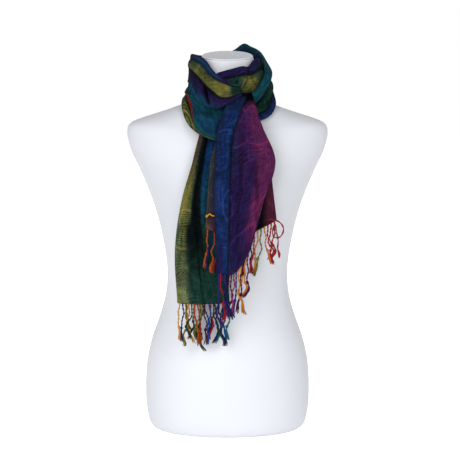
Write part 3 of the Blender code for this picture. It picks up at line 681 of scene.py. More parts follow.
def shell(grid: Array, wall: float) -> tuple[Array, Array]:
    """The closed wall whose middle is a grid: each point moved half the wall along its normal, both ways.

    Its quads are those of the front sheet, of the back sheet turned round, and of the rim between them.

    Args:
        grid: The middle surface.
        wall: The thickness.

    Returns:
        Points and quads.
    """
    half = grid_normals(grid) * wall / 2
    points = np.concatenate([(grid + half).reshape(-1, 3), (grid - half).reshape(-1, 3)])
    index = np.arange(len(points) // 2).reshape(grid.shape[:2])
    corners = (index[:-1, :-1], index[1:, :-1], index[1:, 1:], index[:-1, 1:])
    front = np.stack(corners, axis=-1).reshape(-1, 4)
    edge = np.concatenate([index[0, :], index[1:, -1], index[-1, -2::-1], index[-2:0:-1, 0]])
    after = np.roll(edge, -1)
    rim = np.stack([edge, edge + index.size, after + index.size, after], axis=-1)
    return points, np.concatenate([front, front[:, ::-1] + index.size, rim])


def tube_quads(tubes: int, rings: int, sides: int) -> Array:
    """Quads of several tubes of one kind, whose points run ring by ring, and the fans that close their ends.

    Args:
        tubes: How many tubes.
        rings: Rings of each.
        sides: Points of each ring.

    Returns:
        Quads, four sides at a time across each end.
    """
    ring = np.arange(rings - 1)[:, None] * sides
    side = np.arange(sides)[None, :]
    after = (side + 1) % sides
    corners = (ring + side, ring + after, ring + sides + after, ring + sides + side)
    one = np.stack(corners, axis=-1).reshape(-1, 4)
    fan = np.array([(0, k, k + 1, k + 2) for k in range(1, sides - 1, 2)])
    one = np.concatenate([one, fan[:, ::-1], fan + (rings - 1) * sides])
    return (one[None] + (np.arange(tubes) * rings * sides)[:, None, None]).reshape(-1, 4)


def around_lines(centres: Array, radius: Array, angle: Array) -> Array:
    """Points round lines that run mostly downwards: each ring stands across its line's own direction.

    Args:
        centres: Points of each line.
        radius: The radius of each point of each ring.
        angle: The angle of each point round its ring.

    Returns:
        Points, ring by ring and line by line.
    """
    way = unit(np.gradient(centres, axis=1))
    side = unit(np.cross(way, np.array([0.0, 1.0, 0.0])))
    up = np.cross(way, side)
    spokes = side[:, :, None] * np.cos(angle)[:, None] + up[:, :, None] * np.sin(angle)[:, None]
    return (centres[:, :, None] + spokes * radius[..., None]).reshape(-1, 3)


def mesh_piece(name: str, points: Array, quads: Array, paints: Paints, uv: Array | None = None) -> Piece:
    """Makes a smooth object at the origin from points and quads, its faces pointing out.

    Args:
        name: The object's name.
        points: A row for each point.
        quads: Four point numbers for each face.
        paints: Colours by attribute name, a row for each point.
        uv: Where each point lies on the flat cloth, in metres.

    Returns:
        The object, linked to the scene.
    """
    a, b, c, d = (points[quads[:, k]] for k in range(4))
    if (np.cross(b, c) * a).sum() + (np.cross(c, d) * a).sum() < 0:
        quads = quads[:, ::-1]
    mesh = bpy.data.meshes.new(name)
    mesh.from_pydata(points.tolist(), [], quads.tolist())
    mesh.shade_smooth()
    for title, colours in paints.items():
        attribute = mesh.attributes.new(title, "FLOAT_COLOR", "POINT")
        attribute.data.foreach_set("color", np.column_stack([colours, np.ones(len(colours))]).ravel())
    if uv is not None:
        corners = np.zeros(len(mesh.loops), np.int32)
        mesh.loops.foreach_get("vertex_index", corners)
        mesh.uv_layers.new(name="cloth").data.foreach_set("uv", uv[corners].ravel())
    piece = bpy.data.objects.new(name, mesh)
    bpy.context.scene.collection.objects.link(piece)
    return piece


def tree_of(points: Array, faces: Array) -> BVHTree:
    """A search tree over these faces."""
    return BVHTree.FromPolygons(points.tolist(), faces.tolist())


def neighbours(field: Array, axis: int) -> tuple[Array, Array]:
    """The field moved by one node each way along an axis, its end nodes repeated.

    Args:
        field: The field, on its grid.
        axis: The axis of the grid.

    Returns:
        The field moved each way.
    """
    before = np.concatenate([np.take(field, [0], axis), np.delete(field, -1, axis)], axis)
    after = np.concatenate([np.delete(field, 0, axis), np.take(field, [-1], axis)], axis)
    return before, after


def blurred(field: Array) -> Array:
    """The field averaged with its neighbours along both directions of the grid.

    Args:
        field: The field, on its grid.

    Returns:
        The eased field.
    """
    for axis in (0, 1):
        before, after = neighbours(field, axis)
        field = (before + 2 * field + after) / 4
    return field


def spread(field: Array) -> Array:
    """Each node's greatest value among itself and its neighbours along both directions of the grid.

    Args:
        field: The field, on its grid.

    Returns:
        The grown field.
    """
    for axis in (0, 1):
        field = np.maximum(field, np.maximum(*neighbours(field, axis)))
    return field


def relief(creases: Iterable[Crease], scale: Sequence[Array | float], a: Array, b: Array) -> Array:
    """How far creases lift or sink a surface: each is a bell across a line that fades towards its two ends.

    Args:
        creases: The creases.
        scale: Millimetres for one unit of each parameter.
        a: First parameter.
        b: Second parameter.

    Returns:
        Millimetres, out of the cloth.
    """
    total = np.zeros(np.broadcast(a, b).shape)
    for from_a, from_b, to_a, to_b, width, depth in creases:
        way_a, way_b = (to_a - from_a) * scale[0], (to_b - from_b) * scale[1]
        off_a, off_b = (a - from_a) * scale[0], (b - from_b) * scale[1]
        held = np.clip((off_a * way_a + off_b * way_b) / (way_a**2 + way_b**2), 0, 1)
        off = np.hypot(off_a - held * way_a, off_b - held * way_b)
        fade = CREASE_END + (1 - CREASE_END) * np.sin(math.pi * held)
        total += depth * fade * np.exp(-((off / width) ** 2))
    return total


def dyed(stripes: Sequence[Stripe], places: Array, steps: Sequence[float], at: Array) -> list[Array]:
    """Ground and figure colours over a stretch, eased between its stripes and between the dyes of each.

    Args:
        stripes: The stripes across the stretch.
        places: The place across the stretch of each sample, as stripes count it.
        steps: Where the dyes of a stripe lie along the stretch.
        at: Where each sample lies along it.

    Returns:
        Linear ground colours and figure colours, of the shape of `at` and three more columns.
    """
    marks = np.array([stripe.at for stripe in stripes])
    along = np.interp(at, steps, np.arange(len(steps)))
    row = np.clip(np.searchsorted(marks, places, side="right") - 1, 0, len(marks) - 2)
    column = np.clip(along.astype(int), 0, len(steps) - 2)
    across = eased(np.clip((places - marks[row]) / (marks[row + 1] - marks[row]), 0, 1))[..., None]
    down = eased(along - column)[..., None]
    found = []
    for kind in (0, 1):
        chart = np.array([[linear(dye.value[kind]) for dye in stripe.dyes] for stripe in stripes])
        ends = [chart[row, k] * (1 - across) + chart[row + 1, k] * across for k in (column, column + 1)]
        found.append(ends[0] * (1 - down) + ends[1] * down)
    return found


class Sampled(NamedTuple):
    """The samples of a stretch: its two parameters and distance out, and where each lies on the flat cloth.

    Raised is how far the creases lift a sample, in millimetres.
    """

    a: Array
    b: Array
    out: Array
    across: Array
    along: Array
    place: Array
    dye_at: Array
    raised: Array


class Stretch(Protocol):
    """What every stretch of the shawl has."""

    name: str
    spans: tuple[Span, Span]
    stripes: Sequence[Stripe]
    dye_steps: Sequence[float]

    def place(self, a: Array, b: Array, out: Array) -> Array:
        """Points at these parameters, this far out."""

    def samples(self) -> Sampled:
        """Samples of the middle surface."""

    def held(self, a: Array) -> Array:
        """How much of its lift a column takes."""


@dataclass
class WoundStretch:
    """A stretch that goes round the neck: columns run round it, rows from its top edge down."""

    name: str
    plies: Sequence[Ply]
    stripes: Sequence[Stripe]
    creases: Sequence[Crease]
    wrap: Sequence[Station]
    first: float
    last: float
    slides: Sequence[Slide] = ()
    dye_steps: Sequence[float] = BAND_DYE_TURNS
    columns: int = 168
    rows: int = 128
    field_edge: float = 0.12

    @property
    def spans(self) -> tuple[Span, Span]:
        """The ranges of turn and share that the stretch covers."""
        return (self.first, self.last), (-self.field_edge, 1 + self.field_edge)

    def over(self, turn: Array | float, column: int) -> Array:
        """A column of the station table, read at these turns."""
        table = np.array(self.wrap)
        return smooth_through(turn, table[:, 0], table[:, column])

    def place(self, a: Array, b: Array, out: Array) -> Array:
        """Points at these turns and shares of the width below the top edge, this far from the inside.

        Args:
            a: First parameter.
            b: Second parameter.
            out: Distance out, in millimetres.

        Returns:
            Points in metres.
        """
        reach, height, width, lean = (self.over(a, column) for column in range(1, 5))
        angle, tip, down = np.radians(a), np.radians(lean), (b - 0.5) * width
        radius = reach + out * np.cos(tip) + down * np.sin(tip)
        level = height - down * np.cos(tip) + out * np.sin(tip)
        x, y = radius * np.sin(angle) * MM, NECK_AXIS_Y - radius * np.cos(angle) * MM
        return np.stack([x, y, level * MM], axis=-1)

    def samples(self) -> Sampled:
        """Samples of the middle surface, a row for each place across the plies.

        Returns:
            The samples, a grid of each.
        """
        turns = np.linspace(self.first, self.last, self.columns)
        front = eased(np.clip(np.abs(turns - 180) / FRONT_HOLDS, 0, 1))
        down, out, back_down, back_out = np.array([ply[1:] for ply in self.plies]).T
        usual = np.stack([(down + back_down) / 2 * FULL_WIDTH, (out + back_out) / 2], axis=1)
        weights = even_weights(usual, self.rows)
        downs = back_down[:, None] + (down - back_down)[:, None] * front
        names = [ply.name for ply in self.plies]
        for ply, start, end, slid in self.slides:
            row = names.index(ply)
            downs[row] += (slid - downs[row]) * eased(np.clip((turns - start) / (end - start), 0, 1))
        shares = weights @ downs
        round_neck = self.over(180, 1) * math.radians(1)
        raised = relief(self.creases, (round_neck, FULL_WIDTH), turns, shares) * self.held(turns)
        outs = weights @ (back_out[:, None] + (out - back_out)[:, None] * front)
        outs = outs * np.minimum(self.over(turns, 3) / FLAT_BELOW, 1) * (1 + raised / FOLD_DEPTH)
        across = weights @ summed(np.hypot(np.diff(back_down) * FULL_WIDTH, np.diff(back_out))) * MM
        grid = np.ones(shares.shape)
        across, number = across[:, None] * grid, (weights @ np.arange(len(self.plies)))[:, None] * grid
        along, away = (turns - 180) * round_neck * MM * grid, np.abs(turns - 180) * grid
        return Sampled(turns * grid, shares, outs, across, along, number, away, raised)

    def held(self, a: Array) -> Array:
        """None of its lift at the back, where the stretch meets the next one, and all of it soon after."""
        return np.clip(np.abs(a - 180) / SEAM_EASE, 0, 1)


@dataclass
class HangingStretch:
    """A tail: fold edges run down it, and its layers lie over each other."""

    name: str
    folds: Sequence[Fold]
    layers: Sequence[Layer]
    drape: Sequence[Drape]
    stripes: Sequence[Stripe]
    creases: Sequence[Crease]
    dye_steps: Sequence[float]
    columns: int = 150
    panel_step: float = 1.5
    fold_steps: int = 5
    fold_share: float = 0.4

    @property
    def edges(self) -> Array:
        """The folds' numbers, a row each."""
        return np.array([fold[1:] for fold in self.folds])

    @property
    def widths(self) -> Array:
        """The mean width of each layer, between its two folds."""
        return np.abs(np.diff(self.edges[:, :5], axis=0)).mean(axis=1)

    @property
    def spans(self) -> tuple[Span, Span]:
        """The ranges of X and height that the tail covers."""
        ranges = (self.edges[:, :5], self.edges[:, 5:])
        return tuple((part.min() - FIELD_EDGE, part.max() + FIELD_EDGE) for part in ranges)

    def place(self, a: Array, b: Array, out: Array) -> Array:
        """Points at these X and heights, this far in front of the drape line.

        Args:
            a: First parameter.
            b: Second parameter.
            out: Distance out, in millimetres.

        Returns:
            Points in metres.
        """
        heights, outs = np.array(self.drape)[::-1].T
        depth = smooth_through(b, heights, outs) + out - TAIL_CURVE * a**2
        return np.stack([a * MM, -depth * MM, b * MM], axis=-1)

    def section(self, places: Array, share: float) -> tuple[Array, Array, Array]:
        """X, height and distance across the tail at one share of its length.

        A panel runs between its two folds as half a cosine wave, and rounds out to the next layer at each
        fold.

        Args:
            places: Numbers of layers plus the share of the way across them.
            share: The share of the length.

        Returns:
            X, height and distance, one of each for every place.
        """
        out_top, out_hem, crown, sag = np.array([layer[1:] for layer in self.layers]).T
        layer = np.clip(places.astype(int), 0, len(crown) - 1)
        part = places - layer
        edge = np.array([smooth_through(share, TAIL_LEVELS, row[:5]) for row in self.edges])
        level = self.edges[:, 5] + (self.edges[:, 6] - self.edges[:, 5]) * share
        outs = out_top + (out_hem - out_top) * share
        x0, x1 = edge[layer], edge[layer + 1]
        ease = (1 - np.cos(math.pi * part)) / 2
        reach = np.clip(2 * FOLD_RADIUS / np.maximum(np.abs(x1 - x0), 4 * FOLD_RADIUS), 0, 0.5)
        turn = np.arccos(1 - 2 * reach) / math.pi
        before, after = outs[np.maximum(layer - 1, 0)], outs[np.minimum(layer + 1, len(outs) - 1)]
        near, far = (1 - np.sin(math.pi / 2 * np.clip(side / turn, 0, 1)) for side in (part, 1 - part))
        swell = np.sin(math.pi * part) ** 2
        own = outs[layer]
        own = own + (before - own) / 2 * near + (after - own) / 2 * far + crown[layer] * swell * share
        height = level[layer] + (level[layer + 1] - level[layer]) * ease - sag[layer] * swell * share**3
        return x0 + (x1 - x0) * ease, height, own

    def places(self) -> Array:
        """Places across the tail: closer round each fold's edge, and even steps over each panel.

        Returns:
            Numbers of layers plus the share of the way across them.
        """
        found = [[len(self.layers)]]
        for layer, width in enumerate(self.widths):
            fold = np.linspace(0, 1, self.fold_steps + 2)[1:-1] * self.fold_share * FOLD_RADIUS / width
            panel = np.arccos(1 - 2 * np.arange(0, 1, self.panel_step / width)) / math.pi
            found += [layer + panel, layer + fold, layer + 1 - fold]
        places = np.unique(np.round(np.concatenate(found), 5))
        return places[np.append(True, np.diff(places) > 1e-4)]

    def samples(self) -> Sampled:
        """Samples of the middle surface, a row for each place across the layers.

        Returns:
            The samples, a grid of each.
        """
        places, shares = self.places(), np.linspace(0, 1, self.columns)
        x, height, out = (np.stack(part, axis=1) for part in zip(*(self.section(places, s) for s in shares)))
        lifted = relief(self.creases, (1, 1), x, height)
        out = out * (1 + lifted / FOLD_DEPTH) + RIDGE_LIFT * np.maximum(lifted, 0)
        across = np.interp(places, np.arange(len(self.folds)), summed(self.widths)) * MM
        length = self.edges[:, 5].max() - self.edges[:, 6].min()
        grid = np.ones(x.shape)
        flat = (across[:, None] * grid, shares * length * MM * grid)
        return Sampled(x, height, out, *flat, places[:, None] * grid, shares * grid, lifted)

    def held(self, a: Array) -> Array:
        """All of its lift, everywhere."""
        return np.ones_like(a)


class Laid:
    """A stretch lifted clear of what lies under it by one smooth field, the same for all of its layers."""

    def __init__(self, stretch: Stretch, trees: Sequence[BVHTree]) -> None:
        """Lays the stretch as close as it goes: the field rises in small steps until the wall is clear.

        Args:
            stretch: The stretch.
            trees: Search trees of what lies below it.
        """
        self.stretch, self.samples = stretch, stretch.samples()
        a, b = np.meshgrid(*(np.linspace(*span, LIFT_STEPS) for span in stretch.spans), indexing="ij")
        under = self.obstacle(a, b, trees)
        for extra in np.arange(0, REST_MOST, REST_STEP):
            lift = need = np.maximum(under + (THICKNESS / 2 + GAP) / MM + extra, 0)
            for _ in range(LIFT_BLURS):
                lift = np.maximum(need, blurred(lift))
            self.lift = blurred(lift) * stretch.held(a)
            self.grid = self.points(*self.samples[:3])
            test = self.tree(THICKNESS + GAP)
            if not any(test.overlap(tree) for tree in trees):
                break
        log.info("%s lies %.2f mm higher than the least", stretch.name, extra)

    def obstacle(self, a: Array, b: Array, trees: Sequence[BVHTree]) -> Array:
        """How far out the stretches and the form below reach at each node, by rays cast from outside.

        Args:
            a: First parameter of each node.
            b: Second parameter of each node.
            trees: Search trees of what lies below.

        Returns:
            Millimetres from the stretch's own inside, the greatest of each node and its neighbours.
        """
        starts, ends = (self.stretch.place(a, b, np.full(a.shape, out)) for out in (RAY_FROM, RAY_TO))
        found = np.full(a.shape, float(RAY_TO))
        for spot in np.ndindex(a.shape):
            start = Vector(starts[spot])
            way = Vector(ends[spot]) - start
            hits = [tree.ray_cast(start, way, way.length)[3] for tree in trees]
            depth = min((hit for hit in hits if hit is not None), default=None)
            if depth is not None:
                found[spot] = RAY_FROM - depth / MM
        return spread(found)

    def points(self, a: Array, b: Array, out: Array) -> Array:
        """Points of the middle surface, lifted.

        Args:
            a: First parameter.
            b: Second parameter.
            out: Distance before the lift.

        Returns:
            Points in metres.
        """
        taps = [
            cubic_taps((value - low) / (high - low) * (LIFT_STEPS - 1), LIFT_STEPS)
            for value, (low, high) in zip((a, b), self.stretch.spans)
        ]
        lift = sum(self.lift[row, column] * p * q for row, p in taps[0] for column, q in taps[1])
        return self.stretch.place(a, b, out + np.maximum(lift, 0))

    def tree(self, wall: float = THICKNESS) -> BVHTree:
        """A search tree over every second sample of a wall this thick."""
        return tree_of(*shell(self.grid[::2, ::2], wall))


class Nodes:
    """The node tree of a material or world, with the shader that it starts with."""

    def __init__(self, owner: bpy.types.Material | bpy.types.World, shader: str = "Principled BSDF") -> None:
        """Turns the owner's nodes on.

        Args:
            owner: The material or world.
            shader: The name of its shader's node.
        """
        owner.use_nodes = True
        self.tree = owner.node_tree
        self.shader = self.tree.nodes[shader]

    def fill(self, node: bpy.types.Node, inputs: Inputs) -> None:
        """Fills a node's inputs, by name or number, with values or with other nodes' sockets.

        Args:
            node: The node.
            inputs: Values or sockets, by the input's name or number.
        """
        for key, value in inputs.items():
            if isinstance(value, Socket):
                self.tree.links.new(value, node.inputs[key])
            else:
                node.inputs[key].default_value = value

    def add(
        self, kind: str, inputs: Inputs | None = None, output: str | int = 0, **settings: object
    ) -> Socket:
        """Adds a node with its settings and links.

        Args:
            kind: The node's type, without the words that all shader nodes start with.
            inputs: Values or sockets, by the input's name or number.
            output: The name or number of the output wanted.
            settings: The node's own properties.

        Returns:
            That output.
        """
        made = self.tree.nodes.new(f"ShaderNode{kind}")
        for name, value in settings.items():
            setattr(made, name, value)
        self.fill(made, inputs or {})
        return made.outputs[output]


class Motif(Enum):
    """A figure woven into the cloth: the size of its parts and the spacing of its lines, in millimetres."""

    RIPPLE = (34.0, 3.2)
    PAISLEY = (26.0, 3.6)


@dataclass(frozen=True)
class Finish:
    """What every finish has: a material that is named for it."""

    name: str

    def look(self, nodes: Nodes) -> Inputs:
        """Adds the finish's own nodes, and gives the shader's inputs by name."""

    def material(self) -> bpy.types.Material:
        """Builds the material.

        Returns:
            The material.
        """
        made = bpy.data.materials.new(self.name)
        nodes = Nodes(made)
        nodes.fill(nodes.shader, self.look(nodes))
        return made


@dataclass(frozen=True)
class PashminaFinish(Finish):
    """Silk and wool pashmina, woven on a jacquard loom from space-dyed yarn: soft sheen and a muted figure.

    The ground and figure colours come from the piece's own attributes; level is the figure's share in their
    mean. Over them lie the motif, a fine wavy crepe, large drop outlines, flecks where weft of the next dye
    shows, streaks along the warp, and a slow mottling. Steps are in millimetres. Real threads are 0.4 mm
    apart, too fine to show, so the ribs and the streaks are drawn 1.6 to 2.2 mm apart. A lattice, where
    there is one, fills a panel of the flat cloth in millimetres: least and most across, then along.
    """

    motif: Motif
    level: float = 0.32
    contrast: float = 0.4
    drops: float = 46.0
    drop_edge: float = 0.42
    fleck: Point = (0.5, 1.7, 1.9)
    fleck_step: float = 10.0
    patch_step: float = 38.0
    bend_step: float = 24.0
    bend_reach: float = 7.0
    crepe: float = 0.3
    crepe_step: float = 3.9
    warp: float = 0.5
    warp_step: float = 2.2
    warp_length: float = 34.0
    rib_step: float = 1.6
    mottle: float = 0.42
    mottle_step: float = 7.0
    sheen: float = 0.02
    roughness: float = 0.6
    lattice: tuple[float, float, float, float] | None = None
    lattice_step: float = 4.6
    lattice_slant: float = 1.3

    def flat(self, nodes: Nodes) -> tuple[Socket, Socket]:
        """Where each point lies on the flat cloth in millimetres, straight, and bent by a slow noise.

        Args:
            nodes: The material's nodes.

        Returns:
            Both places.
        """
        uv = nodes.add("UVMap", uv_map="cloth")
        flat = nodes.add("VectorMath", {0: uv, 1: (1000, 1000, 0)}, operation="MULTIPLY")
        bend = nodes.add("TexNoise", {"Vector": flat, "Scale": 1 / self.bend_step, "Detail": 1.0}, "Color")
        reach = (self.bend_reach, self.bend_reach, 0)
        return flat, nodes.add("VectorMath", {0: bend, 1: reach, 2: flat}, operation="MULTIPLY_ADD")

    def figure(self, nodes: Nodes, flat: Socket) -> Socket:
        """How much of the figure shows, from 0 to 1: lines where the sine of a field is high.

        Paisley's field is the distance to scattered centres, on cloth shrunk along its length, which draws
        the rings out into drops. The ripples' field is the place along a line aslant over the cloth plus a
        noise, so that they run aslant, sway, and now and then close round a knot.

        Args:
            nodes: The material's nodes.
            flat: The place on the flat cloth, in millimetres.

        Returns:
            The socket that gives it.
        """
        size, spacing = self.motif.value
        longer = nodes.add("VectorMath", {0: flat, 1: (1, 0.6, 1)}, operation="MULTIPLY")
        if self.motif is Motif.PAISLEY:
            centres = {"Vector": longer, "Scale": 1 / size, "Smoothness": 0.2, "Randomness": 0.85}
            field = nodes.add("TexVoronoi", centres, "Distance", feature="SMOOTH_F1")
        else:
            sway = nodes.add("TexNoise", {"Vector": longer, "Scale": 1 / size, "Detail": 0.4})
            slant = (0.4 / size, 0.8 / size, 0)
            aslant = nodes.add("VectorMath", {0: flat, 1: slant}, "Value", operation="DOT_PRODUCT")
            field = nodes.add("Math", {0: sway, 1: 1.5, 2: aslant}, operation="MULTIPLY_ADD")
        turns = nodes.add("Math", {0: field, 1: size / spacing * math.tau}, operation="MULTIPLY")
        level = {"Value": nodes.add("Math", {0: turns}, operation="SINE"), "From Min": 0.2, "From Max": 0.9}
        return nodes.add("MapRange", level, interpolation_type="SMOOTHSTEP")

    def outline(self, nodes: Nodes, flat: Socket) -> Socket:
        """Lines 2 mm wide round large drops, at one distance from scattered centres.

        Args:
            nodes: The material's nodes.
            flat: The place on the flat cloth, in millimetres.

        Returns:
            The socket that gives them.
        """
        drawn = nodes.add("VectorMath", {0: flat, 1: (1, 0.5, 1)}, operation="MULTIPLY")
        centres = {"Vector": drawn, "Scale": 1 / self.drops, "Smoothness": 0.1, "Randomness": 0.9}
        away = nodes.add("TexVoronoi", centres, "Distance", feature="SMOOTH_F1")
        off = nodes.add("Math", {0: away, 1: self.drop_edge}, operation="SUBTRACT")
        off = nodes.add("Math", {0: off}, operation="ABSOLUTE")
        ends = {"From Min": 1.5 / self.drops, "From Max": 0.6 / self.drops}
        return nodes.add("MapRange", {"Value": off} | ends)

    def panel(self, nodes: Nodes, flat: Socket) -> Socket:
        """The lattice: the greater of two cosines that run aslant, one each way, kept inside its panel.

        The panel is the product of four soft steps, each over 3 mm.

        Args:
            nodes: The material's nodes.
            flat: The place on the flat cloth, in millimetres.

        Returns:
            The socket that gives it.
        """
        parts = nodes.add("SeparateXYZ", {0: flat}).node.outputs
        waves = []
        for way in (self.lattice_slant, -self.lattice_slant):
            pitch = (way * math.tau / self.lattice_step, math.tau / self.lattice_step, 0)
            slant = nodes.add("VectorMath", {0: flat, 1: pitch}, "Value", operation="DOT_PRODUCT")
            waves.append(nodes.add("Math", {0: slant}, operation="COSINE"))
        level = nodes.add("Math", dict(enumerate(waves)), operation="MAXIMUM")
        shown = nodes.add("MapRange", {"Value": level, "From Min": 0.4, "To Max": 1.3})
        for part, edge, way in zip((0, 0, 1, 1), self.lattice, (1.5, -1.5, 1.5, -1.5)):
            ends = {"Value": parts[part], "From Min": edge - way, "From Max": edge + way}
            shown = nodes.add("Math", {0: shown, 1: nodes.add("MapRange", ends)}, operation="MULTIPLY")
        return shown

    def shown(self, nodes: Nodes, flat: Socket, patchy: Socket) -> Socket:
        """How much of the figure's yarn lies on top: the motif in its patches, with the crepe over it.

        Args:
            nodes: The material's nodes.
            flat: The place on the flat cloth, in millimetres.
            patchy: How much of the figure is left in each patch.

        Returns:
            The socket that gives it.
        """
        motif = nodes.add("Math", {0: self.figure(nodes, flat), 1: patchy}, operation="MULTIPLY")
        waves = {"Vector": flat, "Scale": WAVE_TURN / self.crepe_step, "Distortion": 9.0, "Detail": 1.5}
        crepe = nodes.add("TexWave", waves | {"Detail Scale": 1.6}, 1, bands_direction="DIAGONAL")
        return nodes.add("Math", {0: crepe, 1: self.crepe, 2: motif}, operation="MULTIPLY_ADD")

    def lines(self, nodes: Nodes, straight: Socket, flat: Socket, patchy: Socket) -> Socket:
        """How far the drops' outlines, and the lattice where there is one, stand out from the rest.

        Args:
            nodes: The material's nodes.
            straight: The same place, not bent by the noise.
            flat: The place on the flat cloth, in millimetres.
            patchy: How much of the figure is left in each patch.

        Returns:
            The socket that gives it.
        """
        line = nodes.add("Math", {0: self.outline(nodes, flat), 1: patchy}, operation="MULTIPLY")
        if self.lattice:
            line = nodes.add("Math", {0: line, 1: self.panel(nodes, straight)}, operation="MAXIMUM")
        return nodes.add("Math", {0: line, 1: 0.4}, operation="MULTIPLY")

    def look(self, nodes: Nodes) -> Inputs:
        """Builds the cloth: figure, lines, flecks, streaks and mottling as colour, and ribs as relief.

        Args:
            nodes: The material's nodes.

        Returns:
            The inputs, by name.
        """
        add = nodes.add
        straight, flat = self.flat(nodes)
        ground, figure = (add("Attribute", attribute_name=title) for title in ("ground", "figure"))
        step = 1 / self.patch_step
        patches = add("TexNoise", {"Vector": flat, "Scale": step, "Detail": 2.0, "Roughness": 0.6})
        patchy = add("MapRange", {"Value": patches, "From Min": 0.22, "From Max": 0.5})
        shown = self.shown(nodes, flat, patchy)
        along_warp = (1 / self.warp_step, 1 / self.warp_length, 0)
        thin = add("VectorMath", {0: flat, 1: along_warp}, operation="MULTIPLY")
        streaks = add("TexNoise", {"Vector": thin, "Scale": 1.0, "Detail": 2.0, "Roughness": 0.7})
        warps = add("MapRange", {"Value": streaks, "From Min": 0.52, "From Max": 0.72})
        streaked = add("Math", {0: warps, 1: self.warp, 2: shown}, operation="MULTIPLY_ADD")
        share = {0: streaked, 1: self.contrast, 2: self.level - 0.45 * self.contrast}
        amount = add("Math", share, operation="MULTIPLY_ADD", use_clamp=True)
        lit = add("VectorMath", {0: figure, "Scale": 1.7}, operation="SCALE")
        step = 1 / self.fleck_step
        specks = add("TexNoise", {"Vector": flat, "Scale": step, "Detail": 4.0, "Roughness": 0.75})
        speck = add("MapRange", {"Value": specks, "From Min": 0.5, "From Max": 0.74, "To Max": 0.5})
        weft = add("VectorMath", {0: figure, 1: self.fleck}, operation="MULTIPLY")
        line = self.lines(nodes, straight, flat, patchy)
        cloth = ground
        for factor, dye in ((amount, figure), (line, lit), (speck, weft)):
            cloth = add("Mix", {"Factor": factor, "A": cloth, "B": dye}, "Result", data_type="RGBA")
        step = 1 / self.mottle_step
        mottle = add("TexNoise", {"Vector": flat, "Scale": step, "Detail": 3.0, "Roughness": 0.65})
        both = {"Value": add("Math", {0: streaks, 1: mottle}, operation="ADD")}
        both |= {"From Min": 0.7, "From Max": 1.3, "To Min": 1 - self.mottle, "To Max": 1 + self.mottle}
        value = add("MapRange", both)
        waves = {"Vector": flat, "Scale": WAVE_TURN / self.rib_step, "Distortion": 1.2, "Detail": 1.0}
        ribs = add("TexWave", waves, 1, bands_direction="Y")
        height = add("Math", {0: shown, 1: 0.6, 2: ribs}, operation="MULTIPLY_ADD")
        dull = {"Value": shown, "To Min": self.roughness, "To Max": self.roughness - 0.14}
        return {
            "Base Color": add("VectorMath", {0: cloth, "Scale": value}, operation="SCALE"),
            "Normal": add("Bump", {"Strength": 0.35, "Distance": 0.0004, "Height": height}),
            "Roughness": add("MapRange", dull),
            "Sheen Weight": self.sheen,
            "Sheen Roughness": 0.4,
            "Specular IOR Level": 0.0,
        }


@dataclass(frozen=True)
class YarnFinish(Finish):
    """Plied silk and wool yarn, twisted by hand: fibres along each ply, lighter where they catch light."""

    fibre: float = 0.5

    def look(self, nodes: Nodes) -> Inputs:
        """Builds the yarn: its own colour, darker and lighter along fine fibres, with a soft sheen.

        Args:
            nodes: The material's nodes.

        Returns:
            The inputs, by name.
        """
        yarn = nodes.add("Attribute", attribute_name="yarn")
        place = nodes.add("TexCoord", output="Object")
        drawn = nodes.add("VectorMath", {0: place, 1: (1, 1, 0.3)}, operation="MULTIPLY")
        fibres = nodes.add("TexNoise", {"Vector": drawn, "Scale": 900.0, "Detail": 2.0, "Roughness": 0.6})
        ends = {"From Min": 0.3, "From Max": 0.7, "To Min": 1 - self.fibre, "To Max": 1.3}
        value = nodes.add("MapRange", {"Value": fibres} | ends)
        return {
            "Base Color": nodes.add("VectorMath", {0: yarn, "Scale": value}, operation="SCALE"),
            "Normal": nodes.add("Bump", {"Strength": 0.5, "Distance": 0.0003, "Height": fibres}),
            "Roughness": 0.66,
            "Sheen Weight": 0.02,
            "Specular IOR Level": 0.0,
        }


@dataclass(frozen=True)
class FormPaint(Finish):
    """Matt white paint sprayed on a moulded plastic torso: even, chalky, with the faintest orange peel."""

    colour: str = "#a1a3a8"

    def look(self, nodes: Nodes) -> Inputs:
        """Builds the paint: a slow drift of a shade lighter and darker, and fine grain in its relief.

        Args:
            nodes: The material's nodes.

        Returns:
            The inputs, by name.
        """
        place = nodes.add("TexCoord", output="Object")
        cloud, grain = (
            nodes.add("TexNoise", {"Vector": place, "Scale": scale, "Detail": 2.0}) for scale in (9.0, 420.0)
        )
        value = nodes.add("MapRange", {"Value": cloud, "To Min": 0.97, "To Max": 1.03})
        white = tuple(linear(self.colour))
        return {
            "Base Color": nodes.add("VectorMath", {0: white, "Scale": value}, operation="SCALE"),
            "Normal": nodes.add("Bump", {"Strength": 0.06, "Distance": 0.0003, "Height": grain}),
            "Roughness": 0.55,
        }


@dataclass(frozen=True)
class FloorPaint(Finish):
    """A plain white light table of opal acrylic: dead matt, and lit from below, so that no shadow shows."""

    colour: str = "#f4f4f4"
    glow: float = 0.55

    def look(self, nodes: Nodes) -> Inputs:
        """Builds the acrylic: one pale colour with a barely seen tooth, and an even glow.

        Args:
            nodes: The material's nodes.

        Returns:
            The inputs, by name.
        """
        place = nodes.add("TexCoord", output="Object")
        tooth = nodes.add("TexNoise", {"Vector": place, "Scale": 60.0, "Detail": 3.0})
        return {
            "Base Color": (*linear(self.colour), 1),
            "Normal": nodes.add("Bump", {"Strength": 0.02, "Distance": 0.001, "Height": tooth}),
            "Emission Color": (1, 1, 1, 1),
            "Emission Strength": self.glow,
            "Roughness": 0.9,
        }


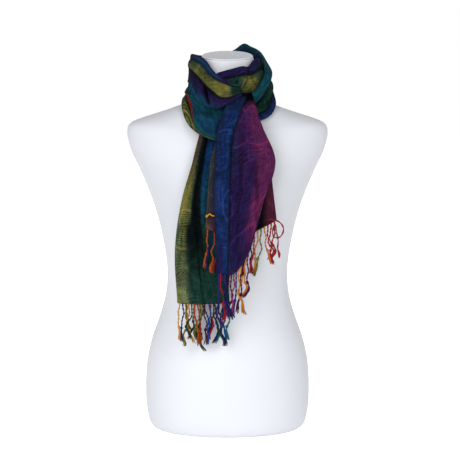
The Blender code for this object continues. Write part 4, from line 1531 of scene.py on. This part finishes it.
class Hem:
    """The lower edge of a laid tail: its points, with the directions down and out of the cloth."""

    def __init__(self, laid: Laid) -> None:
        """Reads the edge from the tail's last two rows; the gap widens where the edge runs aslant.

        Args:
            laid: The tail as it lies.
        """
        self.tail, self.places = laid.stretch, laid.samples.place[:, 0]
        points = laid.grid[:, -1]
        down, aside = unit(points - laid.grid[:, -2]), unit(np.diff(points, axis=0))
        slope = np.linalg.norm(np.cross(aside, down[1:]), axis=1)
        slope = np.maximum(np.minimum(np.append(slope, 1), np.append(1, slope)), SLANT_LEAST)
        self.rows = np.concatenate([points, down, HEM_GAP / slope[:, None]], axis=1)

    def at(self, places: Array) -> tuple[Array, Array, Array]:
        """Points and down at these places across the tail, and the gaps from the hem to its strip."""
        rows = np.stack([np.interp(places, self.places, column) for column in self.rows.T], axis=1)
        return rows[:, :3], rows[:, 3:6], rows[:, 6:]


class Rooted(NamedTuple):
    """A tassel's place across its tail, its length in millimetres, its row and its yarn."""

    place: float
    length: float
    row: Tassels
    yarn: Yarn


@dataclass
class ShawlFringe:
    """The twisted and knotted tassels along a tail's hem, and the knotted warp ends that head them.

    Knots are the share of the cord at which each sits, how far it swells in millimetres, and its reach. Two
    numbers together are the least and the most of what a tassel or a lock draws.
    """

    name: str
    node: str
    rows: Sequence[Tassels]
    loose: Sequence[Loose] = ()
    cord_rings: int = 46
    cord_sides: int = 8
    cord_end: float = 0.7
    cord_radius: float = 1.3
    cord_start: float = 0.9 * MM
    cord_tip: float = 0.6
    ply_depth: float = 0.3
    twists: float = 5.5
    knots: Sequence[tuple[float, float, float]] = ((0.935, 1.4, 0.04), (0.88, 0.35, 0.03))
    locks: int = 8
    lock_rings: int = 7
    lock_sides: int = 4
    lock_start: float = 0.66
    lock_radius: float = 0.8
    lock_lengths: Span = (0.8, 1.04)
    lock_opening: Span = (0.8, 3.2)
    lock_swing: float = 0.9
    strip_rows: int = 5
    strip_painted_shade: float = 0.5
    strip_least: float = 0.28
    root_reach: float = 1.6 * MM
    lengths: Span = (0.78, 1.12)
    drift_spread: float = 10
    depth_spread: float = 1.5
    slow_sway: float = 1.6
    slow_turns: Span = (0.7, 1.3)
    quick_sway: float = 0.9
    quick_turns: Span = (3, 5)
    caught: float = 0.3
    caught_pull: float = 0.9
    caught_from: float = 0.3
    caught_over: float = 0.4

    def rooted(self, tail: HangingStretch, random: np.random.Generator) -> list[Rooted]:
        """The tassels from side to side, evenly over each hem with an inset beside its folds.

        Args:
            tail: The tail they hang from.
            random: Draws their lengths.

        Returns:
            The tassels, by place.
        """
        names = [layer.name for layer in tail.layers]
        found = []
        for row in self.rows:
            layer = names.index(row.layer)
            room = min(TASSEL_INSET / abs(tail.folds[layer + 1].hem - tail.folds[layer].hem), INSET_MOST)
            for share, yarn in zip(np.linspace(room, 1 - room, len(row.yarns)), row.yarns):
                place = layer + math.acos(1 - 2 * share) / math.pi
                found.append(Rooted(place, row.length * random.uniform(*self.lengths), row, yarn))
        return sorted(found, key=lambda tassel: tassel.place)

    def paths(self, hem: Hem) -> tuple[list[Rooted], Array]:
        """Middle lines of the tassels: they leave the strip straight down, then drift and swing as sines.

        Args:
            hem: The hem they hang from.

        Returns:
            The tassels, and a row of points for each.
        """
        random, curl = np.random.default_rng(SEED), np.random.default_rng(SEED + 2)
        tassels = self.rooted(hem.tail, random)
        steps = np.linspace(0, 1, PATH_POINTS)
        ease = np.minimum(steps / PLUMB_SHARE, 1)[:, None]
        here, down, gap = hem.at(np.array([tassel.place for tassel in tassels]))
        lines = []
        for (_, length, row, _), start, way in zip(tassels, here + down * (gap + HEM_DEPTH), down):
            phase, turns = random.uniform(0, 2 * math.pi), random.uniform(*self.slow_turns)
            drift = (row.drift + random.normal(0, self.drift_spread)) * steps**1.5
            slow = np.sin(2 * math.pi * turns * steps + phase) * steps
            quick = np.sin(math.pi * curl.uniform(*self.quick_turns) * steps - phase) * steps**0.5
            sway = drift + row.swing * (self.slow_sway * slow + self.quick_sway * quick)
            depth = random.normal(0, self.depth_spread) * steps
            path = np.stack([sway, depth, -length * steps], axis=1) * MM
            straight = way * (length * MM * steps)[:, None]
            lines.append(start + straight * (1 - ease) + path * ease)
        return tassels, self.tied(tassels, np.array(lines), curl)

    def tied(self, tassels: list[Rooted], lines: Array, random: np.random.Generator) -> Array:
        """Draws some neighbouring tassels together below their middles, where their ends have caught.

        Args:
            tassels: The tassels.
            lines: Their middle lines.
            random: Says which have caught.

        Returns:
            The moved lines.
        """
        way = np.clip((np.linspace(0, 1, PATH_POINTS) - self.caught_from) / self.caught_over, 0, 1)
        pull = (eased(way) * self.caught_pull)[:, None]
        free = True
        for k in range(len(lines) - 1):
            free = not free or random.random() < self.caught
            if not free and tassels[k].row.layer == tassels[k + 1].row.layer:
                pair = lines[k : k + 2]
                pair += (pair.mean(axis=0) - pair) * pull
        return lines

    def sprung(self, hem: Hem) -> Array:
        """The middle lines of the yarns that have sprung out of this hem, a row of points each.

        Args:
            hem: The hem.

        Returns:
            The points.
        """
        here, down, gap = hem.at(np.array([yarn.place for yarn in self.loose]))
        ways = np.array([yarn.points for yarn in self.loose]) * (1, -1, 1) * MM
        return (here + down * gap)[:, None] + ways

    def strip(self, hem: Hem, roots: Array) -> tuple[Array, Array]:
        """The warp ends below the hem: a wall whose lower edge runs down to a point at each tassel's root.

        Args:
            hem: The hem.
            roots: The tassels' places.

        Returns:
            Points and quads.
        """
        here, down, gap = hem.at(hem.places)
        apart = np.linalg.norm(here[:, None] - hem.at(roots)[0][None], axis=2).min(axis=1)
        point = (1 - self.strip_least) * np.exp(-((apart / self.root_reach) ** 2))
        reach = HEM_DEPTH * (self.strip_least + point)[:, None]
        steps = np.linspace(0, 1, self.strip_rows)
        return shell(np.stack([here + down * (gap + reach * step) for step in steps], axis=1), THICKNESS)

    def cords(self, lines: Array, end: float) -> tuple[Array, Array]:
        """Two yarns twisted: tubes whose radius waves twice round, turning on the way down, with a knot.

        Args:
            lines: Middle lines of the tassels.
            end: The share of the line at which the cord ends.

        Returns:
            Points and quads.
        """
        shares = np.linspace(0, end, self.cord_rings)
        centres = np.einsum("rc,nck->nrk", spline_at(lines.shape[1], shares), lines)
        way = shares / end
        knot = sum(swell * np.exp(-(((way - at) / reach) ** 2)) for at, swell, reach in self.knots)
        neck = np.where(way > 0.98, self.cord_tip, 1)
        angle = angles(self.cord_sides)
        twist = angle[None, :] - self.twists * 2 * math.pi * shares[:, None]
        waving = 1 + self.ply_depth * np.cos(2 * twist) * (1 - np.minimum(knot, 1))[:, None]
        radius = (self.cord_radius * neck + knot)[:, None] * waving * MM
        points = around_lines(centres, radius[None], angle)
        return points, tube_quads(len(lines), self.cord_rings, self.cord_sides)

    def brushes(self, lines: Array) -> tuple[Array, Array]:
        """The loose ends below each knot: locks that fan out as the square of the way down, waving a little.

        Args:
            lines: Middle lines of the tassels.

        Returns:
            Points and quads.
        """
        random = np.random.default_rng(SEED + 1)
        shape = (len(lines), self.locks, 1)
        way = np.linspace(0, 1, self.lock_rings)[None, None, :]
        length = random.uniform(*self.lock_lengths, shape)
        shares = np.clip(self.lock_start + (1 - self.lock_start) * way * length, 0, 1)
        weights = spline_at(lines.shape[1], shares.ravel()).reshape(*shares.shape, -1)
        centres = np.einsum("nlrc,nck->nlrk", weights, lines)
        lock = np.arange(self.locks)[None, :, None] + random.uniform(-0.4, 0.4, shape)
        turn = lock / self.locks * 2 * math.pi
        open_out = random.uniform(*self.lock_opening, shape)
        swing = random.uniform(-self.lock_swing, self.lock_swing, shape) * np.sin(3 * math.pi * way)
        out = (0.5 + open_out * way**1.5 + swing * way) * MM
        centres = centres + np.stack([np.cos(turn) * out, np.sin(turn) * out * 0.8, 0 * out], axis=-1)
        tubes = centres.reshape(-1, self.lock_rings, 3)
        radius = (self.lock_radius + 0.3 * np.sin(math.pi * way[0]) - 0.2 * way[0])[..., None] * MM
        points = around_lines(tubes, radius, angles(self.lock_sides))
        return points, tube_quads(len(tubes), self.lock_rings, self.lock_sides)

    def build(self, hem: Hem, tassels: list[Rooted], lines: Array) -> Piece:
        """Makes the fringe: its strip, cords and brushes in one mesh, each point carrying its yarn's colour.

        Args:
            hem: The hem.
            tassels: The tassels, from side to side.
            lines: Their middle lines, parted from each other.

        Returns:
            The piece.
        """
        roots = np.array([tassel.place for tassel in tassels])
        here, down, gap = hem.at(roots)
        starts = here + down * (gap + self.cord_start)
        lines = np.concatenate([starts[:, None], lines], axis=1)
        colours = np.array([linear(tassel.yarn.value) for tassel in tassels])
        parts = [self.strip(hem, roots)]
        nearest = np.linalg.norm(parts[0][0][:, None] - starts[None], axis=2).argmin(axis=1)
        # Painted shade: the strip of warp ends below the hem is drawn at half its yarns' colour.
        yarns = [colours[nearest] * self.strip_painted_shade]
        more = [(self.cords(lines, self.cord_end), colours), (self.brushes(lines), colours)]
        if self.loose:
            own = np.array([linear(yarn.yarn.value) for yarn in self.loose])
            more.append((self.cords(self.sprung(hem), 1.0), own))
        for (points, quads), own in more:
            parts.append((points, quads + sum(len(before) for before, _ in parts)))
            yarns.append(np.repeat(own, len(points) // len(own), axis=0))
        points, quads = (np.concatenate(arrays) for arrays in zip(*parts))
        return mesh_piece(self.name, points, quads, {"yarn": np.concatenate(yarns)})

    def dress(self, piece: Piece, finish: YarnFinish) -> None:
        """Gives the fringe its yarn and its place in the frame.

        Args:
            piece: The piece.
            finish: Its finish.
        """
        piece.data.materials.append(finish.material())
        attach(piece, "root")
        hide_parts(self.node)


def parted(lines: Array, trees: Sequence[BVHTree]) -> Array:
    """The tassels moved apart from each other and out of the layers behind them, their roots held.

    Args:
        lines: Middle lines, a row of points each.
        trees: Search trees of the form and the cloth.

    Returns:
        The moved lines.
    """
    count, points = lines.shape[:2]
    line = lines.copy()
    steps = np.linspace(0, 1, points)
    radius = np.interp(steps, TASSEL_SHARES, TASSEL_RADII)
    hold = np.minimum(steps / ROOT_SHARE, 1)[None, :, None]
    least = (np.tile(radius, count)[:, None] + np.tile(radius, count)[None, :] + TASSEL_APART) * MM
    own = np.repeat(np.arange(count), points)
    other = own[:, None] != own[None, :]
    for _ in range(PARTING_ROUNDS):
        flat = line.reshape(-1, 3)
        apart = flat[:, None] - flat[None]
        apart[..., 2] *= STEEP_SHARE
        distance = np.linalg.norm(apart, axis=2)
        near = np.where(other, np.maximum(least - distance, 0), 0)
        apart[..., 2] = 0
        push = (apart / np.maximum(distance, 1e-6)[..., None] * near[..., None]).sum(axis=1) * PUSH_SHARE
        line = line + push.reshape(line.shape) * hold
        for spot in np.ndindex(count, points):
            point = Vector(line[spot])
            room = (radius[spot[1]] * CLOTH_ROOM + 2 * TASSEL_APART) * MM
            for tree in trees:
                near_point, _, _, depth = tree.find_nearest(point, room)
                if near_point is not None:
                    away = np.array(point - near_point) / max(depth, 1e-6)
                    line[spot] += away * (room - depth) * hold[0, spot[1], 0] * CLEAR_SHARE
        moved = line - lines
        inner = (moved[:, :-2] + 2 * moved[:, 1:-1] + moved[:, 2:]) / 4
        line[:, 1:-1] += (inner - moved[:, 1:-1]) * EVEN_SHARE * hold[:, 1:-1]
    return line


@dataclass
class DressForm:
    """The limbless torso with its neck cap."""

    around: int = 144
    rings: int = 150
    seam_rings: int = 24
    dish_rings: int = 18
    dish_ends: Span = (0.98, 0.04)

    def ring(self, place: float) -> Array:
        """One closed slice of the form.

        Half width by the sine of the angle, and front or back depth by its cosine; two bells swell the
        chest, and above the shoulders the slices tip to the slope of the neck's top.

        Args:
            place: The place in the slice table.

        Returns:
            Points round the slice.
        """
        slices = np.array(FORM_SLICES) * MM
        height, *sizes = (smooth_through(place, np.arange(len(slices)), column) for column in slices.T)
        seam = NECK_SEAM_DEPTH * math.exp(-(((height - NECK_SEAM) / NECK_SEAM_REACH) ** 2))
        half, front, back = (size - seam for size in sizes)
        angle = angles(self.around)
        x, side = half * np.sin(angle), -np.cos(angle)
        across = (np.abs(x) - BUST_APART) / BUST_REACH_X
        swell = BUST_SWELL * np.exp(-(across**2) - ((height - BUST_HEIGHT) / BUST_REACH_Z) ** 2)
        y = np.where(side < 0, front * side - swell * np.sqrt(np.abs(side)), back * side)
        share = np.clip((height - NECK_TILT_FROM) / (NECK_TOP - NECK_TILT_FROM), 0, 1)
        return np.stack([x, y, height + share * NECK_TILT * (y - NECK_AXIS_Y)], axis=1)

    def surface(self) -> tuple[Array, Array]:
        """The form's rings from base to neck, with more at its seam, and the dish on top.

        The dish is of shrinking rings that sink as one less the cube of their share of the rim.

        Returns:
            Points and quads.
        """
        slices = np.array(FORM_SLICES)
        count = np.arange(len(slices))
        along = summed(np.sqrt(np.linalg.norm(np.diff(slices[:, :2], axis=0), axis=1)))
        places = np.interp(np.linspace(0, along[-1], self.rings), along, count)
        reach = 3 * NECK_SEAM_REACH
        seam = np.linspace(NECK_SEAM - reach, NECK_SEAM + reach, self.seam_rings) / MM
        places = np.sort(np.append(places, np.interp(seam, slices[:, 0], count)))
        rings = np.array([self.ring(place) for place in places])
        rim, middle = rings[-1], rings[-1].mean(axis=0)
        shares = np.linspace(*self.dish_ends, self.dish_rings)[:, None, None]
        dish = middle + (rim - middle) * shares - np.array([0, 0, NECK_DISH]) * (1 - shares**3)
        points = np.concatenate([rings, dish]).reshape(-1, 3)
        return points, tube_quads(1, len(places) + self.dish_rings, self.around)

    def build(self) -> Piece:
        """Makes the form's piece."""
        return mesh_piece("dress_form_shell", *self.surface(), {})

    def dress(self, piece: Piece, finish: FormPaint) -> None:
        """Paints the form and puts it in the frame.

        Args:
            piece: The piece.
            finish: Its finish.
        """
        piece.data.materials.append(finish.material())
        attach(piece, "root")
        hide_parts("dress_form")


@dataclass
class ShawlStretch:
    """One stretch of the shawl: a thin closed wall on the surface of its form."""

    form: Stretch
    finish: PashminaFinish
    held: str
    rests_on: Sequence[str]
    # Painted shade in crease troughs: the share by which the dyes darken, and the depth at which it is full.
    trough_painted_shade: float = 0.75
    trough_depth: float = 3.5

    @property
    def name(self) -> str:
        """The piece's name."""
        return f"{self.form.name}_cloth"

    def build(self, laid: Laid) -> Piece:
        """Makes the wall, its dyes as colours with painted shade in the troughs, and its flat cloth as the
        UV map.

        Args:
            laid: The stretch, laid over those below.

        Returns:
            The piece.
        """
        samples = laid.samples
        # Painted shade: the dyes darken in the crease troughs, where folds would lie in shadow.
        painted_trough_shade = 1 - self.trough_painted_shade * np.clip(-samples.raised / self.trough_depth, 0, 1)[..., None]
        dyes = dyed(self.form.stripes, samples.place, self.form.dye_steps, samples.dye_at)
        paints = {}
        for title, dye in zip(("ground", "figure"), dyes):
            paints[title] = np.tile((dye * painted_trough_shade).reshape(-1, 3), (2, 1))
        flat = np.stack([samples.across, samples.along], axis=-1).reshape(-1, 2)
        return mesh_piece(self.name, *shell(laid.grid, THICKNESS), paints, np.tile(flat, (2, 1)))

    def dress(self, piece: Piece, laid: Laid, with_pieces: Sequence[Piece]) -> None:
        """Gives the stretch its finish, puts it in the frame, and states the cut of what it shows.

        Args:
            piece: The piece.
            laid: The stretch as it lies.
            with_pieces: The fringe that hangs from it; not used.
        """
        piece.data.materials.append(self.finish.material())
        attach(piece, "root")
        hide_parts(self.form.name)
        normal = np.cross(np.diff(laid.grid, axis=0)[:, 1:], np.diff(laid.grid, axis=1)[1:])
        area = np.linalg.norm(normal, axis=2).sum()
        width = float(np.ptp(laid.samples.across))
        list(self.rests_on)
        log.info("%s: %.0f x %.0f mm of cloth", self.name, width / MM, area / width / MM)


@dataclass
class Studio:
    """The pale floor, the soft light, and the camera at the photo's angle.

    A sun is its name, its place, how wide it is in degrees, and its strength in watts for each square metre.
    """

    picture: int = 460
    scale: float = 1.93 * MM
    distance: float = 4.0
    elevation: float = 8.0
    target: Point = (0.005, 0, 0.39)
    floor_radius: float = 6.0
    floor_sides: int = 96
    floor_rings: int = 8
    sky: float = 1.0
    zenith: float = 0.3
    suns: Sequence[tuple[str, Point, float, float]] = (
        ("soft_light_left", (-1.8, -3.0, 2.4), 40, 2.6),
        ("soft_light_right", (1.9, -2.8, 2.2), 22, 1.7),
    )
    box_size: float = 0.5
    box_power: float = 3.0
    box_place: Point = (-0.2, -0.9, 0.12)
    box_target: Point = (0, 0, 0.2)

    def stand(self, data: bpy.types.Camera | bpy.types.Light, place: Point, target: Point) -> Piece:
        """Stands a camera or lamp at a place, facing a target.

        Args:
            data: The camera or lamp.
            place: Where it stands.
            target: Where it faces.

        Returns:
            Its object.
        """
        made = bpy.data.objects.new(data.name, data)
        made.location = place
        made.rotation_euler = (Vector(target) - Vector(place)).to_track_quat("-Z", "Y").to_euler()
        bpy.context.scene.collection.objects.link(made)
        return made

    def camera(self) -> None:
        """Stands the camera back from its target and up by its elevation, its lens set by the scale."""
        data = bpy.data.cameras.new("photo_camera")
        data.lens = data.sensor_width * self.distance / (self.picture * self.scale)
        lift = math.radians(self.elevation)
        back = Vector((0, -math.cos(lift), math.sin(lift)))
        bpy.context.scene.camera = self.stand(data, Vector(self.target) + back * self.distance, self.target)

    def floor(self) -> None:
        """A round floor on which the form stands: rings of points whose radius grows evenly."""
        angle = angles(self.floor_sides)
        radius = np.linspace(0.02, self.floor_radius, self.floor_rings)[:, None]
        level = np.full((self.floor_rings, self.floor_sides), -0.5 * MM)
        points = np.stack([radius * np.cos(angle), radius * np.sin(angle), level], axis=-1)
        rim_fan = (self.floor_sides - 2) // 2
        quads = tube_quads(1, self.floor_rings, self.floor_sides)[:-rim_fan]
        floor = mesh_piece("studio_floor", points.reshape(-1, 3), quads, {})
        floor.data.materials.append(FloorPaint("opal_acrylic").material())

    def lamps(self) -> None:
        """Two wide soft suns, and a soft box low in front that lights the hips more than the chest."""
        for name, place, width, strength in self.suns:
            sun = bpy.data.lights.new(name, "SUN")
            sun.angle, sun.energy = math.radians(width), strength
            self.stand(sun, place, self.target)
        box = bpy.data.lights.new("low_soft_box", "AREA")
        box.size, box.energy = self.box_size, self.box_power
        self.stand(box, self.box_place, self.box_target)

    def heaven(self, world: bpy.types.World) -> None:
        """Lights the studio all round: white walls up to 12 degrees, then dimmer to a grey ceiling at 49.

        Args:
            world: The world that lights it.
        """
        nodes = Nodes(world, "Background")
        place = nodes.add("TexCoord", output="Generated")
        height = {"Value": nodes.add("SeparateXYZ", {0: place}, "Z"), "From Min": 0.2, "From Max": 0.75}
        strength = nodes.add("MapRange", height | {"To Min": self.sky, "To Max": self.zenith})
        nodes.fill(nodes.shader, {"Strength": strength, "Color": (1, 1, 1, 1)})

    def build(self) -> None:
        """Sets the sky, camera, floor and lamps."""
        scene = bpy.context.scene
        scene.view_settings.view_transform = "Standard"
        scene.world = bpy.data.worlds.new("studio_sky")
        self.heaven(scene.world)
        self.camera()
        self.floor()
        self.lamps()


def own(name: str, *tables: dict[str, list]) -> list:
    """A stretch's name, and its own rows of each of these tables."""
    return [name, *(table[name] for table in tables)]


# The stretches, in the order in which they are laid: each rests on those before it.
STRETCHES = (
    ShawlStretch(
        WoundStretch(
            *own("cowl_right", PLIES, DYES, CREASES),
            UNDER_WRAP,
            -16,
            179.9,
            SLIDES["cowl_right"],
            dye_steps=(0, 122, 147, 168),
        ),
        PashminaFinish("jacquard_pashmina_navy_olive", Motif.RIPPLE),
        "draped",
        ("dress_form",),
    ),
    ShawlStretch(
        WoundStretch(*own("loop_right", PLIES, DYES, CREASES), OVER_WRAP, 2, 179.9),
        PashminaFinish("jacquard_pashmina_petrol", Motif.PAISLEY),
        "draped",
        ("dress_form", "cowl_right"),
    ),
    ShawlStretch(
        HangingStretch(*own("under_tail", FOLDS, LAYERS, DRAPES, DYES, CREASES), (0.16, 0.45, 0.6, 1)),
        PashminaFinish("jacquard_pashmina_olive_teal", Motif.RIPPLE, contrast=0.6),
        "hung",
        ("dress_form", "loop_right"),
    ),
    ShawlStretch(
        WoundStretch(*own("loop_left", PLIES, DYES, CREASES), UNDER_WRAP, 180.1, 370, SLIDES["loop_left"]),
        PashminaFinish("jacquard_pashmina_spruce_rust", Motif.PAISLEY, contrast=0.7),
        "draped",
        ("dress_form", "cowl_right", "under_tail"),
    ),
    ShawlStretch(
        HangingStretch(*own("front_tail", FOLDS, LAYERS, DRAPES, DYES, CREASES), (0.03, 0.11, 0.72, 1)),
        PashminaFinish("jacquard_pashmina_blue_plum", Motif.RIPPLE, 0.22, lattice=(70, 86, 155, 210)),
        "hung",
        ("under_tail", "loop_left"),
    ),
    ShawlStretch(
        WoundStretch(
            *own("cowl_left", PLIES, DYES, CREASES),
            OVER_WRAP,
            180.1,
            374,
            SLIDES["cowl_left"],
            dye_steps=(0, 90, 150, 180, 186),
        ),
        PashminaFinish("jacquard_pashmina_olive_plum", Motif.RIPPLE),
        "draped",
        ("cowl_right", "loop_left", "front_tail"),
    ),
)
FRINGES = {
    "under_tail": ShawlFringe("under_fringe_yarn", "under_fringe", UNDER_TASSELS),
    "front_tail": ShawlFringe("front_fringe_yarn", "front_fringe", FRONT_TASSELS, FRONT_LOOSE),
}


def main() -> None:
    """Builds the form, lays the stretches over it one by one, hangs the fringes, and sets the studio."""
    logging.basicConfig(level=logging.INFO, format="%(message)s")
    torso = DressForm()
    torso.dress(torso.build(), FormPaint("matt_white_painted_plastic"))
    trees = [tree_of(*torso.surface())]
    laid, cloths = {}, {}
    for stretch in STRETCHES:
        name = stretch.form.name
        laid[name] = Laid(stretch.form, trees)
        cloths[name] = stretch.build(laid[name])
        trees.append(laid[name].tree())
    hems = {tail: Hem(laid[tail]) for tail in FRINGES}
    hung = {tail: FRINGES[tail].paths(hem) for tail, hem in hems.items()}
    lines = parted(np.concatenate([lines for _, lines in hung.values()]), trees)
    fringes = {}
    for tail, (tassels, _) in hung.items():
        fringes[tail] = FRINGES[tail].build(hems[tail], tassels, lines[: len(tassels)])
        FRINGES[tail].dress(fringes[tail], YarnFinish(f"plied_yarn_of_{tail}"))
        lines = lines[len(tassels) :]
        log.info("%s: %d tassels", FRINGES[tail].name, len(tassels))
    for stretch in STRETCHES:
        name = stretch.form.name
        stretch.dress(cloths[name], laid[name], [fringes[name]] if name in fringes else [])
    Studio().build()


if __name__ == "__main__":
    main()
